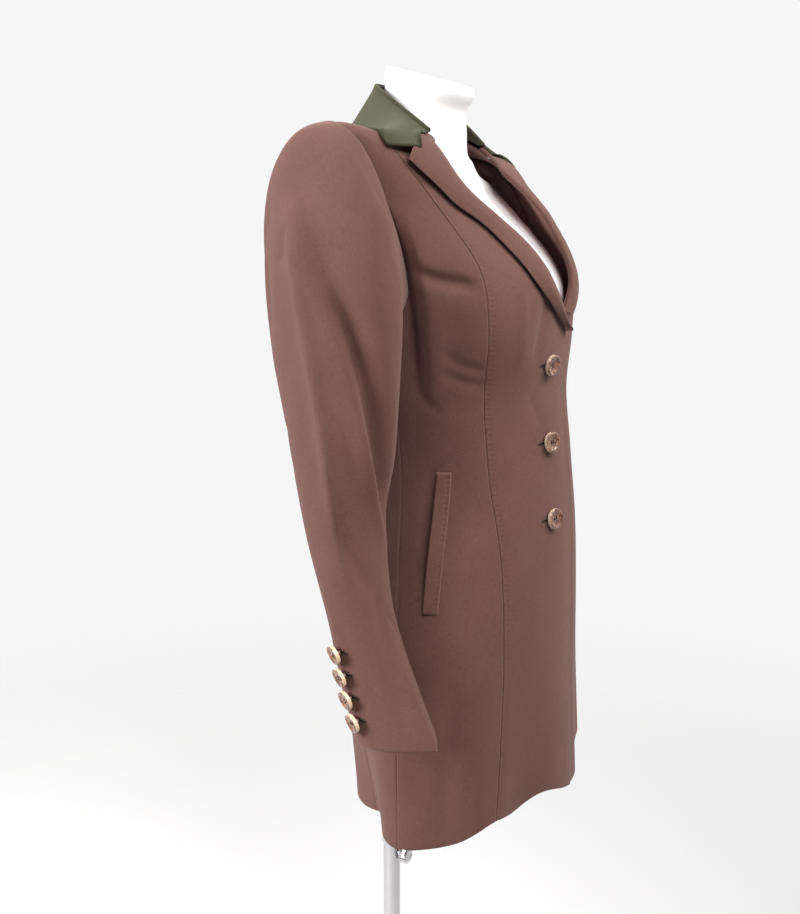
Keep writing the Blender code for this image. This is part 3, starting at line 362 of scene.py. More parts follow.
def hem_fade(station, top):
    """Share of a hem's shape that is left above it, none from the top on."""
    return np.maximum(0.0, 1 - station / top) ** HEM_FADE_POWER


def left_settle(angle, station):
    """Share of the left shoulder's slip on the form."""
    turn = -wrapped(angle)
    beside = smooth_step(*SETTLE_AHEAD, turn) * (1 - smooth_step(*SETTLE_BEHIND, turn))
    fall = 1 - SETTLE_LOSS * smooth_step(*SETTLE_FALL, station)
    return beside * smooth_step(*SETTLE_RISE, station) * fall


def coat_surface(angle, station, folds=True):
    """Points of the coat's outer surface."""
    angle, station = np.broadcast_arrays(np.asarray(angle, float), np.asarray(station, float))
    row = Section(station, *(table_curve(BODY, column, station) for column in Section._fields[1:]))
    turn = np.radians(angle)
    square = SQUARE_BACK * (1 - np.cos(turn)) / 2 * smooth_step(SQUARE_FROM, SQUARE_FULL, station)
    across = (np.sin(turn) + square * np.sin(3 * turn)) / (1 - square)
    ahead = (np.cos(turn) - square * np.cos(3 * turn)) / (1 - square)
    depth = np.abs(np.where(ahead > 0, row.y_front, row.y_back) - row.y_side)
    level = np.where(ahead > 0, row.z_front, row.z_back)
    normal = unit(np.stack([-across / row.half_width, -ahead / depth], axis=-1))
    lift = fullness(angle, station, folds)
    settle = left_settle(angle, station)
    x = -row.half_width * across + lift * normal[..., 0] - settle * LEFT_IN
    y = row.y_side - depth * ahead + lift * normal[..., 1] + settle * LEFT_BACK
    z = row.z_side + (level - row.z_side) * ahead**2 - settle * LEFT_DOWN
    if folds:
        z = z + hem_fade(station, HEM_LINE_TOP) * table_curve(HEM_LINE, "rise", wrapped(angle))
    return np.stack([x, y, HEM_HEIGHT + z], axis=-1)


def coat_normal(angle, station, folds=True):
    turn, rise = NORMAL_STEPS
    along = coat_surface(angle + turn, station, folds) - coat_surface(angle - turn, station, folds)
    upward = coat_surface(angle, station + rise, folds) - coat_surface(angle, station - rise, folds)
    return unit(np.cross(upward, along))


def on_coat(angle, station, out, folds=True):
    """Points at a distance from the coat's outer surface, along its normal."""
    out = np.asarray(out, dtype=float)[..., None]
    return coat_surface(angle, station, folds) + out * coat_normal(angle, station, folds)


def run_along(points, axis):
    """Length from the first point to each one along an axis of a grid."""
    steps = np.diff(points, axis=axis, prepend=np.take(points, [0], axis))
    return np.cumsum(np.linalg.norm(steps, axis=-1), axis=axis)


def grid_mesh(name, points, outward, loop=False):
    """A smooth sheet over rows of points that faces outward, with a weave map
    in metres: across the rows and along them."""
    rows, columns = points.shape[:2]
    number = np.arange(rows * columns).reshape(rows, columns)
    if loop:
        number = np.concatenate([number, number[:, :1]], axis=1)
    low, high = number[:-1], number[1:]
    quads = np.stack([low[:, :-1], low[:, 1:], high[:, 1:], high[:, :-1]], axis=-1).reshape(-1, 4)
    flat = points.reshape(-1, 3)
    face_normal = np.cross(flat[quads[:, 2]] - flat[quads[:, 0]], flat[quads[:, 3]] - flat[quads[:, 1]])
    if np.sum(face_normal * outward.reshape(-1, 3)[quads[:, 0]]) < 0:
        quads = quads[:, ::-1]
    mesh = bpy.data.meshes.new(name)
    mesh.from_pydata(flat.tolist(), [], quads.tolist())
    across = run_along(points, 1)
    across -= across[:, -1:] / 2
    along = run_along(points[:, columns // 2], 0)
    weave = np.stack([across, np.broadcast_to(along[:, None], across.shape)], axis=-1).reshape(-1, 2)
    corners = np.empty(len(mesh.loops), dtype=np.int32)
    mesh.loops.foreach_get("vertex_index", corners)
    mesh.uv_layers.new(name="weave").data.foreach_set("uv", weave[corners].ravel())
    mesh.shade_smooth()
    return mesh


rings = [on_coat(FORM_ANGLES, row.station, np.full_like(FORM_ANGLES, -row.clearance), False) for row in FORM]
turn = np.radians(FORM_ANGLES)
for row in NECK:
    level = (row.z_front + row.z_back) / 2 - (row.z_back - row.z_front) / 2 * np.cos(turn)
    ahead = (row.y_front + row.y_back) / 2 - (row.y_back - row.y_front) / 2 * np.cos(turn)
    rings.append(np.stack([-row.half_width * np.sin(turn), ahead, HEM_HEIGHT + level], axis=-1))
rings = np.array(rings)
heights = np.concatenate([[0.0], np.cumsum(np.linalg.norm(np.diff(rings, axis=0), axis=2).mean(axis=1))])
loft = smooth_curve(heights, rings, np.linspace(0.0, heights[-1], FORM_ROWS))
middle = loft[-1].mean(axis=0)
caps = [middle + (loft[-1] - middle) * share + np.array([0.0, 0.0, rise]) for share, rise in NECK_CAP]
floor_middle = loft[0].mean(axis=0)
bases = [floor_middle + (loft[0] - floor_middle) * share for share in FLOOR_SHARES]
loft = np.concatenate([bases, loft, caps])

white_plastic, tree, shader = new_finish(
    "white_plastic", Base_Color=(0.88, 0.865, 0.855, 1.0), Subsurface_Weight=0.08,
    Subsurface_Radius=(0.004, 0.003, 0.002),
)
add_smudges(tree, shader, 9.0, 0.34, 0.48)
add_relief(tree, shader, noise_value(tree, 30.0, Detail=3.0), 0.10, 0.0010)
torso = grid_mesh("dress_form", loft, loft - loft.mean(axis=1, keepdims=True), loop=True)
add_piece("dress_form", torso, white_plastic, "form", "white_plastic", "form_torso")


# Body of the blazer: back, side backs, side fronts and fronts, cut in brown
# linen-like cloth and joined by pressed seams, with a pick-stitched edge on
# the front side of the princess seams. The hem is turned up and blind-sewn.
WALL = 0.0018
OVERLAP = {RIGHT: 0.015, LEFT: 0.022}
UNDERLAP, UNDERLAP_TURN, UNDERLAP_TOP = 0.0028, (9.0, 18.0), (0.515, 0.575)
SeamPoint = namedtuple("SeamPoint", "station angle")
PRINCESS_SEAM = rows_of(
    SeamPoint,
    (0.000, 41.5), (0.090, 38.0), (0.190, 37.5), (0.290, 41.5), (0.356, 47.0), (0.427, 47.0),
    (0.520, 44.0), (0.580, 43.0), (0.632, 47.5), (0.662, 51.5), (0.700, 63.0), (0.728, 90.0),
)
BACK_PRINCESS_SEAM = rows_of(
    SeamPoint,
    (0.000, 130.0), (0.060, 126.0), (0.200, 130.0), (0.365, 138.0), (0.500, 135.0), (0.600, 118.0),
)
ROLL_LINE = rows_of(
    SeamPoint,
    (0.500, -5.3), (0.515, -0.5), (0.530, 3.6), (0.548, 7.4), (0.575, 10.0), (0.603, 13.4),
    (0.630, 20.0), (0.655, 26.0), (0.696, 30.5), (0.740, 38.0), (0.780, 52.0), (0.792, 69.0),
    (0.798, 88.5),
)
BREAK_STATION = ROLL_LINE[0].station
NECK_STATION, SIDE_FRONT_TOP, SIDE_SEAM = 0.8015, 0.7265, 90.0
ARMHOLE_Y, ARMHOLE_Z = -0.036, 0.540
ARMHOLE_FRONT, ARMHOLE_BACK = 0.068, 0.036
ARMHOLE_UP, ARMHOLE_DOWN = 0.150, 0.045
EGG_FRONT, EGG_BACK = 1.74, 1.30
ARMHOLE_AHEAD, ARMHOLE_BEHIND, ARMHOLE_PASSES = 40.0, 155.0, 31
LEFT_ROLL_STAND, LEFT_ROLL_STATION = 0.013, 0.620
LEFT_ROLL_HALF, LEFT_ROLL_TURN = 0.055, 17.0
LEFT_LEAD, LEFT_LEAD_RISE, LEFT_LEAD_FALL = 18.0, (0.545, 0.665), (0.700, 0.776)

# Columns close to a seam, how far the pressed edge turns down there, and the
# pick stitches that pucker the cloth beside it. Narrow rows have them closer.
NARROW, WIDTH_SHARES = 0.030, np.linspace(0.0, 1.0, 25)
NEAR_EDGE = np.array((0.00015, 0.0006, 0.0012, 0.0020, 0.0032, 0.0048, 0.0068, 0.0090))
UNDER_EDGE = np.array((0.0012, 0.0045))
SEAM_ROUND, SEAM_DIP, SEAM_DEEPEST = 0.0020, 0.0011, 1.75
FREE_EDGE_TURN = 0.6
STITCH_PITCH, STITCH_INSET = 0.0050, 0.0042
PUCKER_HALF, PUCKER_DEPTH = 0.0022, 0.00065


def seam(table, station):
    return table_curve(table, "angle", station)


def roll_angle(side, station):
    """Angle of the roll line; the left one leads further in over the chest."""
    if side == RIGHT:
        return seam(ROLL_LINE, station)
    lead = smooth_step(*LEFT_LEAD_RISE, station) * (1 - smooth_step(*LEFT_LEAD_FALL, station))
    return seam(ROLL_LINE, station) - LEFT_LEAD * lead


def front_edge(side, station):
    """Front edge up to the break, and the roll line and neck seam above it."""
    half_width = table_curve(BODY, "half_width", np.minimum(station, BREAK_STATION))
    edge = -np.degrees(np.arcsin(OVERLAP[side] / half_width))
    settle = smooth_step(BREAK_STATION, ROLL_LINE[2].station, station)
    rolled = roll_angle(side, station) + (edge - ROLL_LINE[0].angle) * (1 - settle)
    return np.where(station <= BREAK_STATION, edge, rolled)


def princess(station):
    line = np.minimum(seam(PRINCESS_SEAM, station), SIDE_SEAM)
    return np.where(station >= PRINCESS_SEAM[-1].station, SIDE_SEAM, line)


def in_armhole(point):
    height = point[..., 2] - HEM_HEIGHT - ARMHOLE_Z
    share = np.clip(height / np.where(height > 0, ARMHOLE_UP, ARMHOLE_DOWN), -1.0, 1.0)
    forward = ARMHOLE_Y - point[..., 1]
    egg = np.where(height > 0, np.where(forward > 0, EGG_FRONT, EGG_BACK), 1.0)
    half = np.where(forward > 0, ARMHOLE_FRONT, ARMHOLE_BACK)
    return (np.abs(share) < 1) & (np.abs(forward) < half * (1 - share**2) ** (egg / 2))


def halved(low, high, passes, before):
    """Values between low and high where before stops being true."""
    for _ in range(passes):
        middle = (low + high) / 2
        lower = before(middle)
        low, high = np.where(lower, middle, low), np.where(lower, high, middle)
    return middle


def armhole_edge(station, far_angle):
    """Angle of the armhole's edge between the side seam and far_angle."""
    def within(angle):
        return in_armhole(coat_surface(angle, station))

    start = np.full(np.shape(station), SIDE_SEAM)
    edge = halved(start, np.full(np.shape(station), far_angle), ARMHOLE_PASSES, within)
    return np.where(within(start), edge, SIDE_SEAM)


def front_armhole(station):
    return armhole_edge(station, ARMHOLE_AHEAD)


def back_armhole(station):
    return armhole_edge(station, ARMHOLE_BEHIND)


def back_princess(station):
    line = np.maximum(seam(BACK_PRINCESS_SEAM, station), back_armhole(station))
    return np.where(station >= BACK_PRINCESS_SEAM[-1].station, back_armhole(station), line)


def roll_stand(angle, station):
    """The left lapel's roll stands away from the chest."""
    from_roll = angle - roll_angle(LEFT, np.maximum(station, BREAK_STATION))
    beside = 1 - smooth_step(0.0, LEFT_ROLL_TURN, from_roll)
    return LEFT_ROLL_STAND * beside * bell(station - LEFT_ROLL_STATION, LEFT_ROLL_HALF)


# Creases drawn on the body as soft troughs and ridges from an upper
# point to a lower one. Bend is how far the line bows in metres, and left and
# right are the half widths of its two flanks seen from outside.
Crease = namedtuple("Crease", "from_angle from_station to_angle to_station bend height left right")
BODY_CREASES = rows_of(
    Crease,
    (69.0, 0.622, 79.0, 0.420, 0.0, -0.0076, 0.020, 0.006),
    (62.0, 0.630, 72.0, 0.400, 0.0, 0.0036, 0.006, 0.018),
    (70.0, 0.562, 43.0, 0.553, 0.004, -0.0052, 0.010, 0.006),
    (64.0, 0.484, 43.0, 0.464, 0.003, -0.0018, 0.007, 0.004),
    (66.0, 0.466, 44.0, 0.450, 0.003, -0.0018, 0.007, 0.004),
    (80.0, 0.452, 66.0, 0.420, 0.002, -0.0016, 0.006, 0.006),
    (28.0, 0.560, 29.8, 0.452, 0.002, 0.0016, 0.004, 0.005),
    (13.0, 0.548, 22.0, 0.462, 0.003, -0.0032, 0.008, 0.008),
    (24.0, 0.444, 12.0, 0.398, 0.003, -0.0010, 0.008, 0.008),
    (60.0, 0.175, 65.5, -0.02, 0.004, -0.0028, 0.015, 0.013),
    (48.0, 0.120, 50.0, -0.02, 0.004, 0.0016, 0.012, 0.012),
    (-66.0, 0.600, -76.0, 0.430, 0.004, -0.0060, 0.008, 0.018),
    (-66.0, 0.545, -43.0, 0.538, 0.004, -0.0034, 0.008, 0.008),
    (-62.0, 0.470, -42.0, 0.452, 0.003, -0.0018, 0.006, 0.006),
    (-26.0, 0.540, -29.0, 0.450, 0.003, 0.0010, 0.005, 0.005),
    (-58.0, 0.190, -62.0, -0.02, 0.004, -0.0026, 0.014, 0.014),
    (150.0, 0.420, 205.0, 0.400, 0.006, -0.0018, 0.008, 0.009),
    (205.0, 0.452, 160.0, 0.440, 0.005, -0.0014, 0.008, 0.008),
    (128.0, 0.610, 160.0, 0.520, 0.004, -0.0024, 0.010, 0.008),
    (230.0, 0.600, 198.0, 0.510, 0.004, -0.0022, 0.008, 0.010),
    (158.0, 0.210, 153.0, -0.02, 0.004, -0.0030, 0.016, 0.016),
    (206.0, 0.180, 209.0, -0.02, 0.004, 0.0026, 0.016, 0.016),
)
BODY_RADIUS, CREASE_FADE = 0.155, 0.3


def crease_lift(creases, angle, station, radius):
    """How far the drawn creases lift the cloth at these places."""
    lift = np.zeros(np.broadcast(angle, station).shape)
    for crease in creases:
        run = np.radians(crease.to_angle - crease.from_angle) * radius
        rise = crease.to_station - crease.from_station
        length = math.hypot(run, rise)
        x = np.radians(wrapped(angle - crease.from_angle)) * radius
        y = station - crease.from_station
        share = np.clip((x * run + y * rise) / length**2, 0.0, 1.0)
        aside = (y * run - x * rise) / length - crease.bend * 4 * share * (1 - share)
        fade = smooth_step(0.0, CREASE_FADE, share) * smooth_step(1.0, 1 - CREASE_FADE, share)
        lift += crease.height * fade * bell(aside, np.where(aside > 0, crease.left, crease.right))
    return lift


def row_width(points):
    return np.linalg.norm(np.diff(points, axis=1), axis=2).sum(axis=1)


def spread(first, last, share):
    """Places between two edges, one row for each pair of edge places."""
    return first[:, None] + (last - first)[:, None] * share


def edge_shares(width, middle_columns, under_first=False, under_last=False):
    """Places across rows of these widths, closer together near both edges, and
    beyond an edge whose seam allowance runs on under the next piece."""
    near = NEAR_EDGE[None, :] * np.minimum(1.0, width / NARROW)[:, None] / width[:, None]
    under = UNDER_EDGE[None, :] * np.minimum(1.0, width / NARROW)[:, None] / width[:, None]
    between = np.linspace(0.0, 1.0, middle_columns + 2)[None, 1:-1]
    between = near[:, -1:] + (1 - 2 * near[:, -1:]) * between
    shares = [near, between, 1 - near[:, ::-1]]
    if under_first:
        shares.insert(0, -under[:, ::-1])
    if under_last:
        shares.append(1 + under)
    return np.concatenate(shares, axis=1)


def seam_turn(distance):
    """How far a pressed edge turns down at a distance from its seam."""
    return -SEAM_DIP * np.clip(1 - distance / SEAM_ROUND, 0.0, SEAM_DEEPEST) ** 2


def pucker(distance, run):
    """Dents of pick stitches at a distance from an edge and along it."""
    wave = 0.5 + 0.5 * np.cos(2 * math.pi * run / STITCH_PITCH)
    return -PUCKER_DEPTH * wave * bell(distance - STITCH_INSET, PUCKER_HALF)


def mark_points(mesh, name, values):
    """A named mask for a shader, with a value at each point of a mesh."""
    mesh.attributes.new(name, "FLOAT", "POINT").data.foreach_set("value", values.ravel())


def sheet_piece(node, points, outward, edge, finish, slot):
    """A cloth sheet with a wall, its mask for the edges painted lighter (partly wear, partly a painted
    highlight) and its flat cut.
    """
    name = f"{node}_{slot.split('_')[1]}"
    mesh = grid_mesh(name, points, outward)
    mark_points(mesh, "edge", edge)
    piece = add_piece(name, mesh, finish, "form", slot, node)
    # Brown pieces get the lining on their inner wall, painted paler to stand in for bounced light.
    if finish == brown_cloth:
        mesh.materials.append(lining_painted_bright)
    wall = piece.modifiers.new("wall", "SOLIDIFY")
    wall.thickness = WALL
    wall.offset = -1.0
    wall.material_offset = len(mesh.materials) - 1


# The cloth's grain, shared by the brown cloth and the green collar: fine
# threads both ways, thicker slubs, and a soft unevenness of the dye.
grain_group, given, grain = new_group(
    "cloth_grain",
    {"Color": "Color", "Threads": "Float", "Slub": "Float", "Fuzz": "Float"},
    {"Color": "Color", "Height": "Float"},
)
where = place(grain_group, "ShaderNodeUVMap", {}, uv_map="weave")
streaks = []
for scale in ((2400.0, 130.0, 1.0), (130.0, 2400.0, 1.0)):
    lie = place(grain_group, "ShaderNodeMapping", {"Vector": where.outputs["UV"], "Scale": scale})
    threads = {"Vector": lie.outputs["Vector"], "Scale": 1.0, "Detail": 2.0, "Roughness": 0.55}
    streak = place(grain_group, "ShaderNodeTexNoise", threads, noise_dimensions="2D")
    streaks.append(streak.outputs["Fac"])
clouds = []
for scale, detail, roughness in ((1500.0, 4.0, 0.7), (22.0, 5.0, 0.5)):
    values = {"Vector": where.outputs["UV"], "Scale": scale, "Detail": detail, "Roughness": roughness}
    clouds.append(place(grain_group, "ShaderNodeTexNoise", values).outputs["Fac"])
fuzz, dye = clouds


def worked(tree, operation, *values):
    """Result of a sum in a shader."""
    return place(tree, "ShaderNodeMath", dict(enumerate(values)), operation=operation).outputs["Value"]


thread = worked(grain_group, "ADD", *streaks)
slub = worked(grain_group, "MULTIPLY", worked(grain_group, "ADD", thread, -1.0), given["Slub"])
dyed = worked(grain_group, "MULTIPLY", worked(grain_group, "ADD", dye, -0.5), 0.30)
level = worked(grain_group, "ADD", worked(grain_group, "ADD", slub, dyed), 1.0)
shaded = place(grain_group, "ShaderNodeVectorMath", {0: given["Color"], "Scale": level}, operation="SCALE")
grain_group.links.new(shaded.outputs["Vector"], grain["Color"])
thread_part = worked(grain_group, "MULTIPLY", thread, given["Threads"])
fuzz_part = worked(grain_group, "MULTIPLY", fuzz, given["Fuzz"])
grain_group.links.new(worked(grain_group, "ADD", thread_part, fuzz_part), grain["Height"])


def add_weave(tree, shader, color, threads, slub, fuzz, strength, distance):
    """A cloth's colour and relief, from its grain."""
    inputs = {"Color": color, "Threads": threads, "Slub": slub, "Fuzz": fuzz}
    weave = place(tree, "ShaderNodeGroup", inputs, node_tree=grain_group)
    tree.links.new(weave.outputs["Color"], shader.inputs["Base Color"])
    add_relief(tree, shader, weave.outputs["Height"], strength, distance)


BROWN = (0.122, 0.057, 0.047, 1.0)
WORN_LIT_BROWN = (0.172, 0.086, 0.072, 1.0)
EDGE_WEAR_AND_SHINE = 0.0022
brown_cloth, tree, shader = new_finish(
    "brown_cloth", Roughness=0.82, Specular_IOR_Level=0.18,
    Sheen_Weight=0.18, Sheen_Roughness=0.45, Sheen_Tint=(0.9, 0.66, 0.60, 1.0),
)
# The cloth is painted lighter towards each edge and seam: partly wear, partly a painted highlight where the
# pressed edges catch the light.
edge = place(tree, "ShaderNodeAttribute", {}, attribute_name="edge")
worn_and_lit = place(tree, "ShaderNodeMapRange", {
    "Value": edge.outputs["Fac"], "From Min": 0.0, "From Max": EDGE_WEAR_AND_SHINE, "To Min": 0.55, "To Max": 0.0,
})
tint = place(tree, "ShaderNodeMix", {0: worn_and_lit.outputs["Result"], 6: BROWN, 7: WORN_LIT_BROWN}, data_type="RGBA")
add_weave(tree, shader, tint.outputs[2], 1.0, 0.55, 0.3, 0.30, 0.0004)

# The inside of the coat shows a smoother lining face, its colour painted paler than the cloth to stand in
# for light bounced inside the coat.
lining_painted_bright, tree, shader = new_finish("brown_lining_painted_paler", Roughness=0.55, Specular_IOR_Level=0.3)
add_weave(tree, shader, (0.400, 0.225, 0.195, 1.0), 0.5, 0.20, 0.1, 0.12, 0.0002)

Cut = namedtuple("Cut", "width length area held")
HEM_ROWS = (0.0, 0.0006, 0.0013, 0.0024, 0.0040, 0.0060)
# The last value keeps the hem's lighter edge, partly wear and partly painted highlight, a little off the
# hem.
HEM_ROWS_END, HEM_ROUND, HEM_TURN, HEM_WEAR_AND_SHINE = 0.008, 0.0022, 0.0010, 0.0005
TIP_WIDTH, BREAK_SOFT = 0.004, 0.01

# Lengths between rows, and columns between the close ones at the edges
BACK_STEP, SIDE_BACK_STEP, SIDE_FRONT_STEP, FRONT_STEP = 0.0030, 0.0026, 0.0025, 0.00125
BACK_COLUMNS, SIDE_BACK_COLUMNS, SIDE_FRONT_COLUMNS, FRONT_COLUMNS = 50, 18, 26, 22


def panel_rows(top, step):
    return np.concatenate([HEM_ROWS, np.linspace(HEM_ROWS_END, top, int(top / step))])


# The pocket openings sink in beside the free edges of their welts.
POCKET_SINKS = rows_of(
    Crease,
    (72.8, 0.374, 77.6, 0.224, 0.0, -0.0042, 0.008, 0.005),
    (-72.8, 0.374, -77.6, 0.224, 0.0, -0.0042, 0.005, 0.008),
)


def body_panel(node, side, stations, edges, columns, under, lift=None):
    """A body panel between two seams, with its creases and pressed edges. Fronts
    have a lift of their own, top stitches and a free first edge."""
    first, last = edges[0](stations), edges[1](stations)
    width = row_width(coat_surface(side * spread(first, last, WIDTH_SHARES), stations[:, None]))
    share = edge_shares(width, columns, *under)
    angle = spread(first, last, share)
    station = np.broadcast_to(stations[:, None], angle.shape)
    from_first, from_last = share * width[:, None], (1 - share) * width[:, None]
    out = seam_turn(from_last) + crease_lift(BODY_CREASES + POCKET_SINKS, side * angle, station, BODY_RADIUS)
    out -= HEM_TURN * np.maximum(0.0, 1 - station / HEM_ROUND) ** 2
    out += seam_turn(from_first) * (FREE_EDGE_TURN if lift else 1.0)
    if lift:
        below_break = 1 - smooth_step(BREAK_STATION - BREAK_SOFT, BREAK_STATION, station)
        out += lift(angle, station)
        out += pucker(from_last, station) + pucker(from_first, station) * below_break
    normal = coat_normal(side * angle, station)
    # Distance to the nearest edge, for the lighter edges: partly wear, partly a painted highlight.
    edge = np.minimum(np.minimum(from_first, from_last), station + HEM_WEAR_AND_SHINE)
    points = on_coat(side * angle, station, out)
    sheet_piece(node, points, normal, edge, brown_cloth, "brown_cloth")


def right_front_edge(station):
    return front_edge(RIGHT, station)


def left_front_edge(station):
    return front_edge(LEFT, station)


def right_front_lift(angle, station):
    return np.zeros(angle.shape)


def left_front_lift(angle, station):
    """The left front lies inside the right one where they overlap."""
    near = 1 - smooth_step(*UNDERLAP_TURN, angle)
    low = 1 - smooth_step(*UNDERLAP_TOP, station)
    return roll_stand(angle, station) - UNDERLAP * near * low


def far_back_princess(station):
    return 360.0 - back_princess(station)


FRONT_EDGES = {RIGHT: right_front_edge, LEFT: left_front_edge}
FRONT_LIFTS = {RIGHT: right_front_lift, LEFT: left_front_lift}
back_rows = panel_rows(NECK_STATION, BACK_STEP)
side_back_rows = panel_rows(BACK_PRINCESS_SEAM[-1].station, SIDE_BACK_STEP)
side_front_rows = panel_rows(SIDE_FRONT_TOP, SIDE_FRONT_STEP)
front_rows = panel_rows(ROLL_LINE[-1].station, FRONT_STEP)
tip_turn = np.radians(back_princess(side_back_rows) - back_armhole(side_back_rows))
side_back_rows = side_back_rows[tip_turn * table_curve(BODY, "half_width", side_back_rows) > TIP_WIDTH]
back_edges = (back_princess, far_back_princess)
body_panel("back", RIGHT, back_rows, back_edges, BACK_COLUMNS, (True, True))
for word, side in SIDES.items():
    body_panel(
        f"side_back_{word}", side, side_back_rows, (back_armhole, back_princess), SIDE_BACK_COLUMNS,
        (True, False),
    )
    body_panel(
        f"side_front_{word}", side, side_front_rows, (princess, front_armhole), SIDE_FRONT_COLUMNS,
        (True, True),
    )
    body_panel(
        f"front_{word}", side, front_rows, (FRONT_EDGES[side], princess), FRONT_COLUMNS,
        (False, False), FRONT_LIFTS[side],
    )


# Lapels: the fronts' facings, turned back at the roll line over the chest,
# pick-stitched all round their free edges. The cloth rolls over, not creased.
LapelRow = namedtuple("LapelRow", "share roll_station edge_station edge_angle")
LAPEL = rows_of(
    LapelRow,
    (0.00, 0.500, 0.502, -3.3), (0.12, 0.514, 0.511, 4.3), (0.35, 0.553, 0.550, 20.1),
    (0.50, 0.590, 0.579, 25.0), (0.66, 0.632, 0.614, 31.6), (0.80, 0.672, 0.634, 40.5),
    (0.88, 0.702, 0.646, 43.8), (1.00, 0.782, 0.667, 52.0),
)
NOTCH = SeamPoint(0.685, 48.0)
NOTCH_SHARE = 0.72
NOTCH_PULL_FROM, NOTCH_SOFT = 0.80, 0.06
LIFT_ROLL, LIFT_EDGE = 0.0028, 0.0044
LIFT_MIDDLE, LIFT_TOP = {RIGHT: 0.0110 / 2, LEFT: 0.0110 / 6}, {RIGHT: 0.0070, LEFT: 0.0070 / 4}
LIFT_TOP_FROM, LIFT_TOP_LOSS = 0.70, 0.7
LAPEL_FIRST, LAPEL_ROWS, LAPEL_COLUMNS = {RIGHT: 0.0, LEFT: 0.17}, 270, 20
LAPEL_NARROWEST, LAPEL_TURN = 0.001, 0.8

# The lapel's top is cut a little short under the collar, less so at its roll.
ROLL_TRIM, TOP_TRIM, TRIM_REACH = 0.005, 0.0125, 0.22
ROLL_TURNS = np.radians((-170, -140, -110, -80, -55, -35, -20, -8))
ROLL_RADIUS = 0.75 * LIFT_ROLL


def lapel_place(side, share, across):
    """Station and angle of lapel points, from the roll line to the edge."""
    roll_station = table_curve(LAPEL, "roll_station", share)
    edge_station = table_curve(LAPEL, "edge_station", share)
    edge_angle = table_curve(LAPEL, "edge_angle", share)
    start_angle = roll_angle(side, roll_station)
    tent = np.minimum(across / NOTCH_SHARE, (1 - across) / (1 - NOTCH_SHARE))
    top = LAPEL[-1]
    top_angle = roll_angle(side, top.roll_station)
    pull = tent * smooth_step(NOTCH_PULL_FROM, 1.0, share)
    station = roll_station + (edge_station - roll_station) * across
    straight = top.roll_station + (top.edge_station - top.roll_station) * NOTCH_SHARE
    station += pull * (NOTCH.station - straight)
    angle = start_angle + (edge_angle - seam(ROLL_LINE, roll_station)) * across
    angle += pull * (NOTCH.angle - top_angle - (top.edge_angle - top_angle) * NOTCH_SHARE)
    return station, angle


def lapel_lift(side, share, across):
    ends = LIFT_ROLL * (1 - across) + LIFT_EDGE * across
    middle = LIFT_MIDDLE[side] * np.sin(math.pi * across)
    top = LIFT_TOP[side] * (1 - LIFT_TOP_LOSS * across) * smooth_step(LIFT_TOP_FROM, 1.0, share)
    return ends + middle + top


for word, side in SIDES.items():
    share = np.linspace(LAPEL_FIRST[side], 1.0, LAPEL_ROWS)[:, None]
    coarse_station, coarse_angle = lapel_place(side, share, WIDTH_SHARES[None, :])
    line = coat_surface(side * coarse_angle, coarse_station)
    width = row_width(line)
    across = edge_shares(np.maximum(width, LAPEL_NARROWEST), LAPEL_COLUMNS)
    free_top = smooth_step(NOTCH_SHARE - NOTCH_SOFT, NOTCH_SHARE, across)
    trim = ROLL_TRIM + (TOP_TRIM - ROLL_TRIM) * smooth_step(0.0, TRIM_REACH, across)
    sewn = share * (1 - trim * (1 - free_top))
    station, angle = lapel_place(side, sewn, across)
    from_edge, top_run = (1 - across) * width[:, None], across * width[:, None]
    edge_run = run_along(line[:, -1], 0)[:, None]
    middle_run = run_along(line[:, len(WIDTH_SHARES) // 2], 0)
    from_top = (middle_run[-1] - middle_run)[:, None]
    out = lapel_lift(side, sewn, across) + LAPEL_TURN * seam_turn(from_edge)
    out += pucker(from_edge, edge_run) + pucker(from_top, top_run) * free_top
    out += LAPEL_TURN * seam_turn(from_top)
    if side == LEFT:
        out += roll_stand(angle, station)
    points = on_coat(side * angle, station, out)
    normal = coat_normal(side * angle, station)

    # The roll turns back under the lapel from its first column.
    first, first_normal = points[:, :1], normal[:, :1]
    inward = unit(first - points[:, 4:5])
    swing, reach = np.cos(ROLL_TURNS)[None, :, None], np.sin(ROLL_TURNS)[None, :, None]
    roll = first - first_normal * ROLL_RADIUS + ROLL_RADIUS * (swing * first_normal - reach * inward)
    points = np.concatenate([roll, points], axis=1)
    normal = np.concatenate([np.repeat(first_normal, len(ROLL_TURNS), axis=1), normal], axis=1)
    # The roll's columns get none of the lighter edge colour of wear and painted highlight.
    no_wear_or_shine = np.full((len(share), len(ROLL_TURNS)), 1.0)
    edge = np.concatenate([no_wear_or_shine, np.minimum(from_edge, from_top)], axis=1)
    sheet_piece(f"lapel_{word}", points, normal, edge, brown_cloth, "brown_cloth")


# Collar: a stand and fall in dark olive wool felt, sewn to the neck seam and
# to the tops of the lapels, rolled over by hand with a raw-looking firm edge.
CollarRow = namedtuple(
    "CollarRow", "turn seam_angle seam_station roll_x roll_y roll_z edge_angle edge_station"
)
COLLAR = rows_of(
    CollarRow,
    (0.00, 180, 0.803, 0.000, 0.009, 0.744, 180, 0.790),
    (0.15, 159, 0.803, 0.018, 0.0060, 0.7435, 159, 0.789),
    (0.30, 138, 0.803, 0.034, -0.003, 0.740, 137, 0.784),
    (0.55, 97, 0.802, 0.057, -0.028, 0.728, 98, 0.770),
    (0.80, 66, 0.797, 0.064, -0.057, 0.708, 70, 0.737),
    (1.00, 52, 0.786, 0.067, -0.076, 0.692, 59.5, 0.677),
)
COLLAR_ROLL, COLLAR_SEAM_LIFT, COLLAR_EDGE_LIFT = 0.0034, 0.0026, 0.0044
COLLAR_CROWN, COLLAR_CLEAR = 0.0020, 0.0042
COLLAR_REACH_FROM, COLLAR_REACH_POWER = 0.70, 1.5
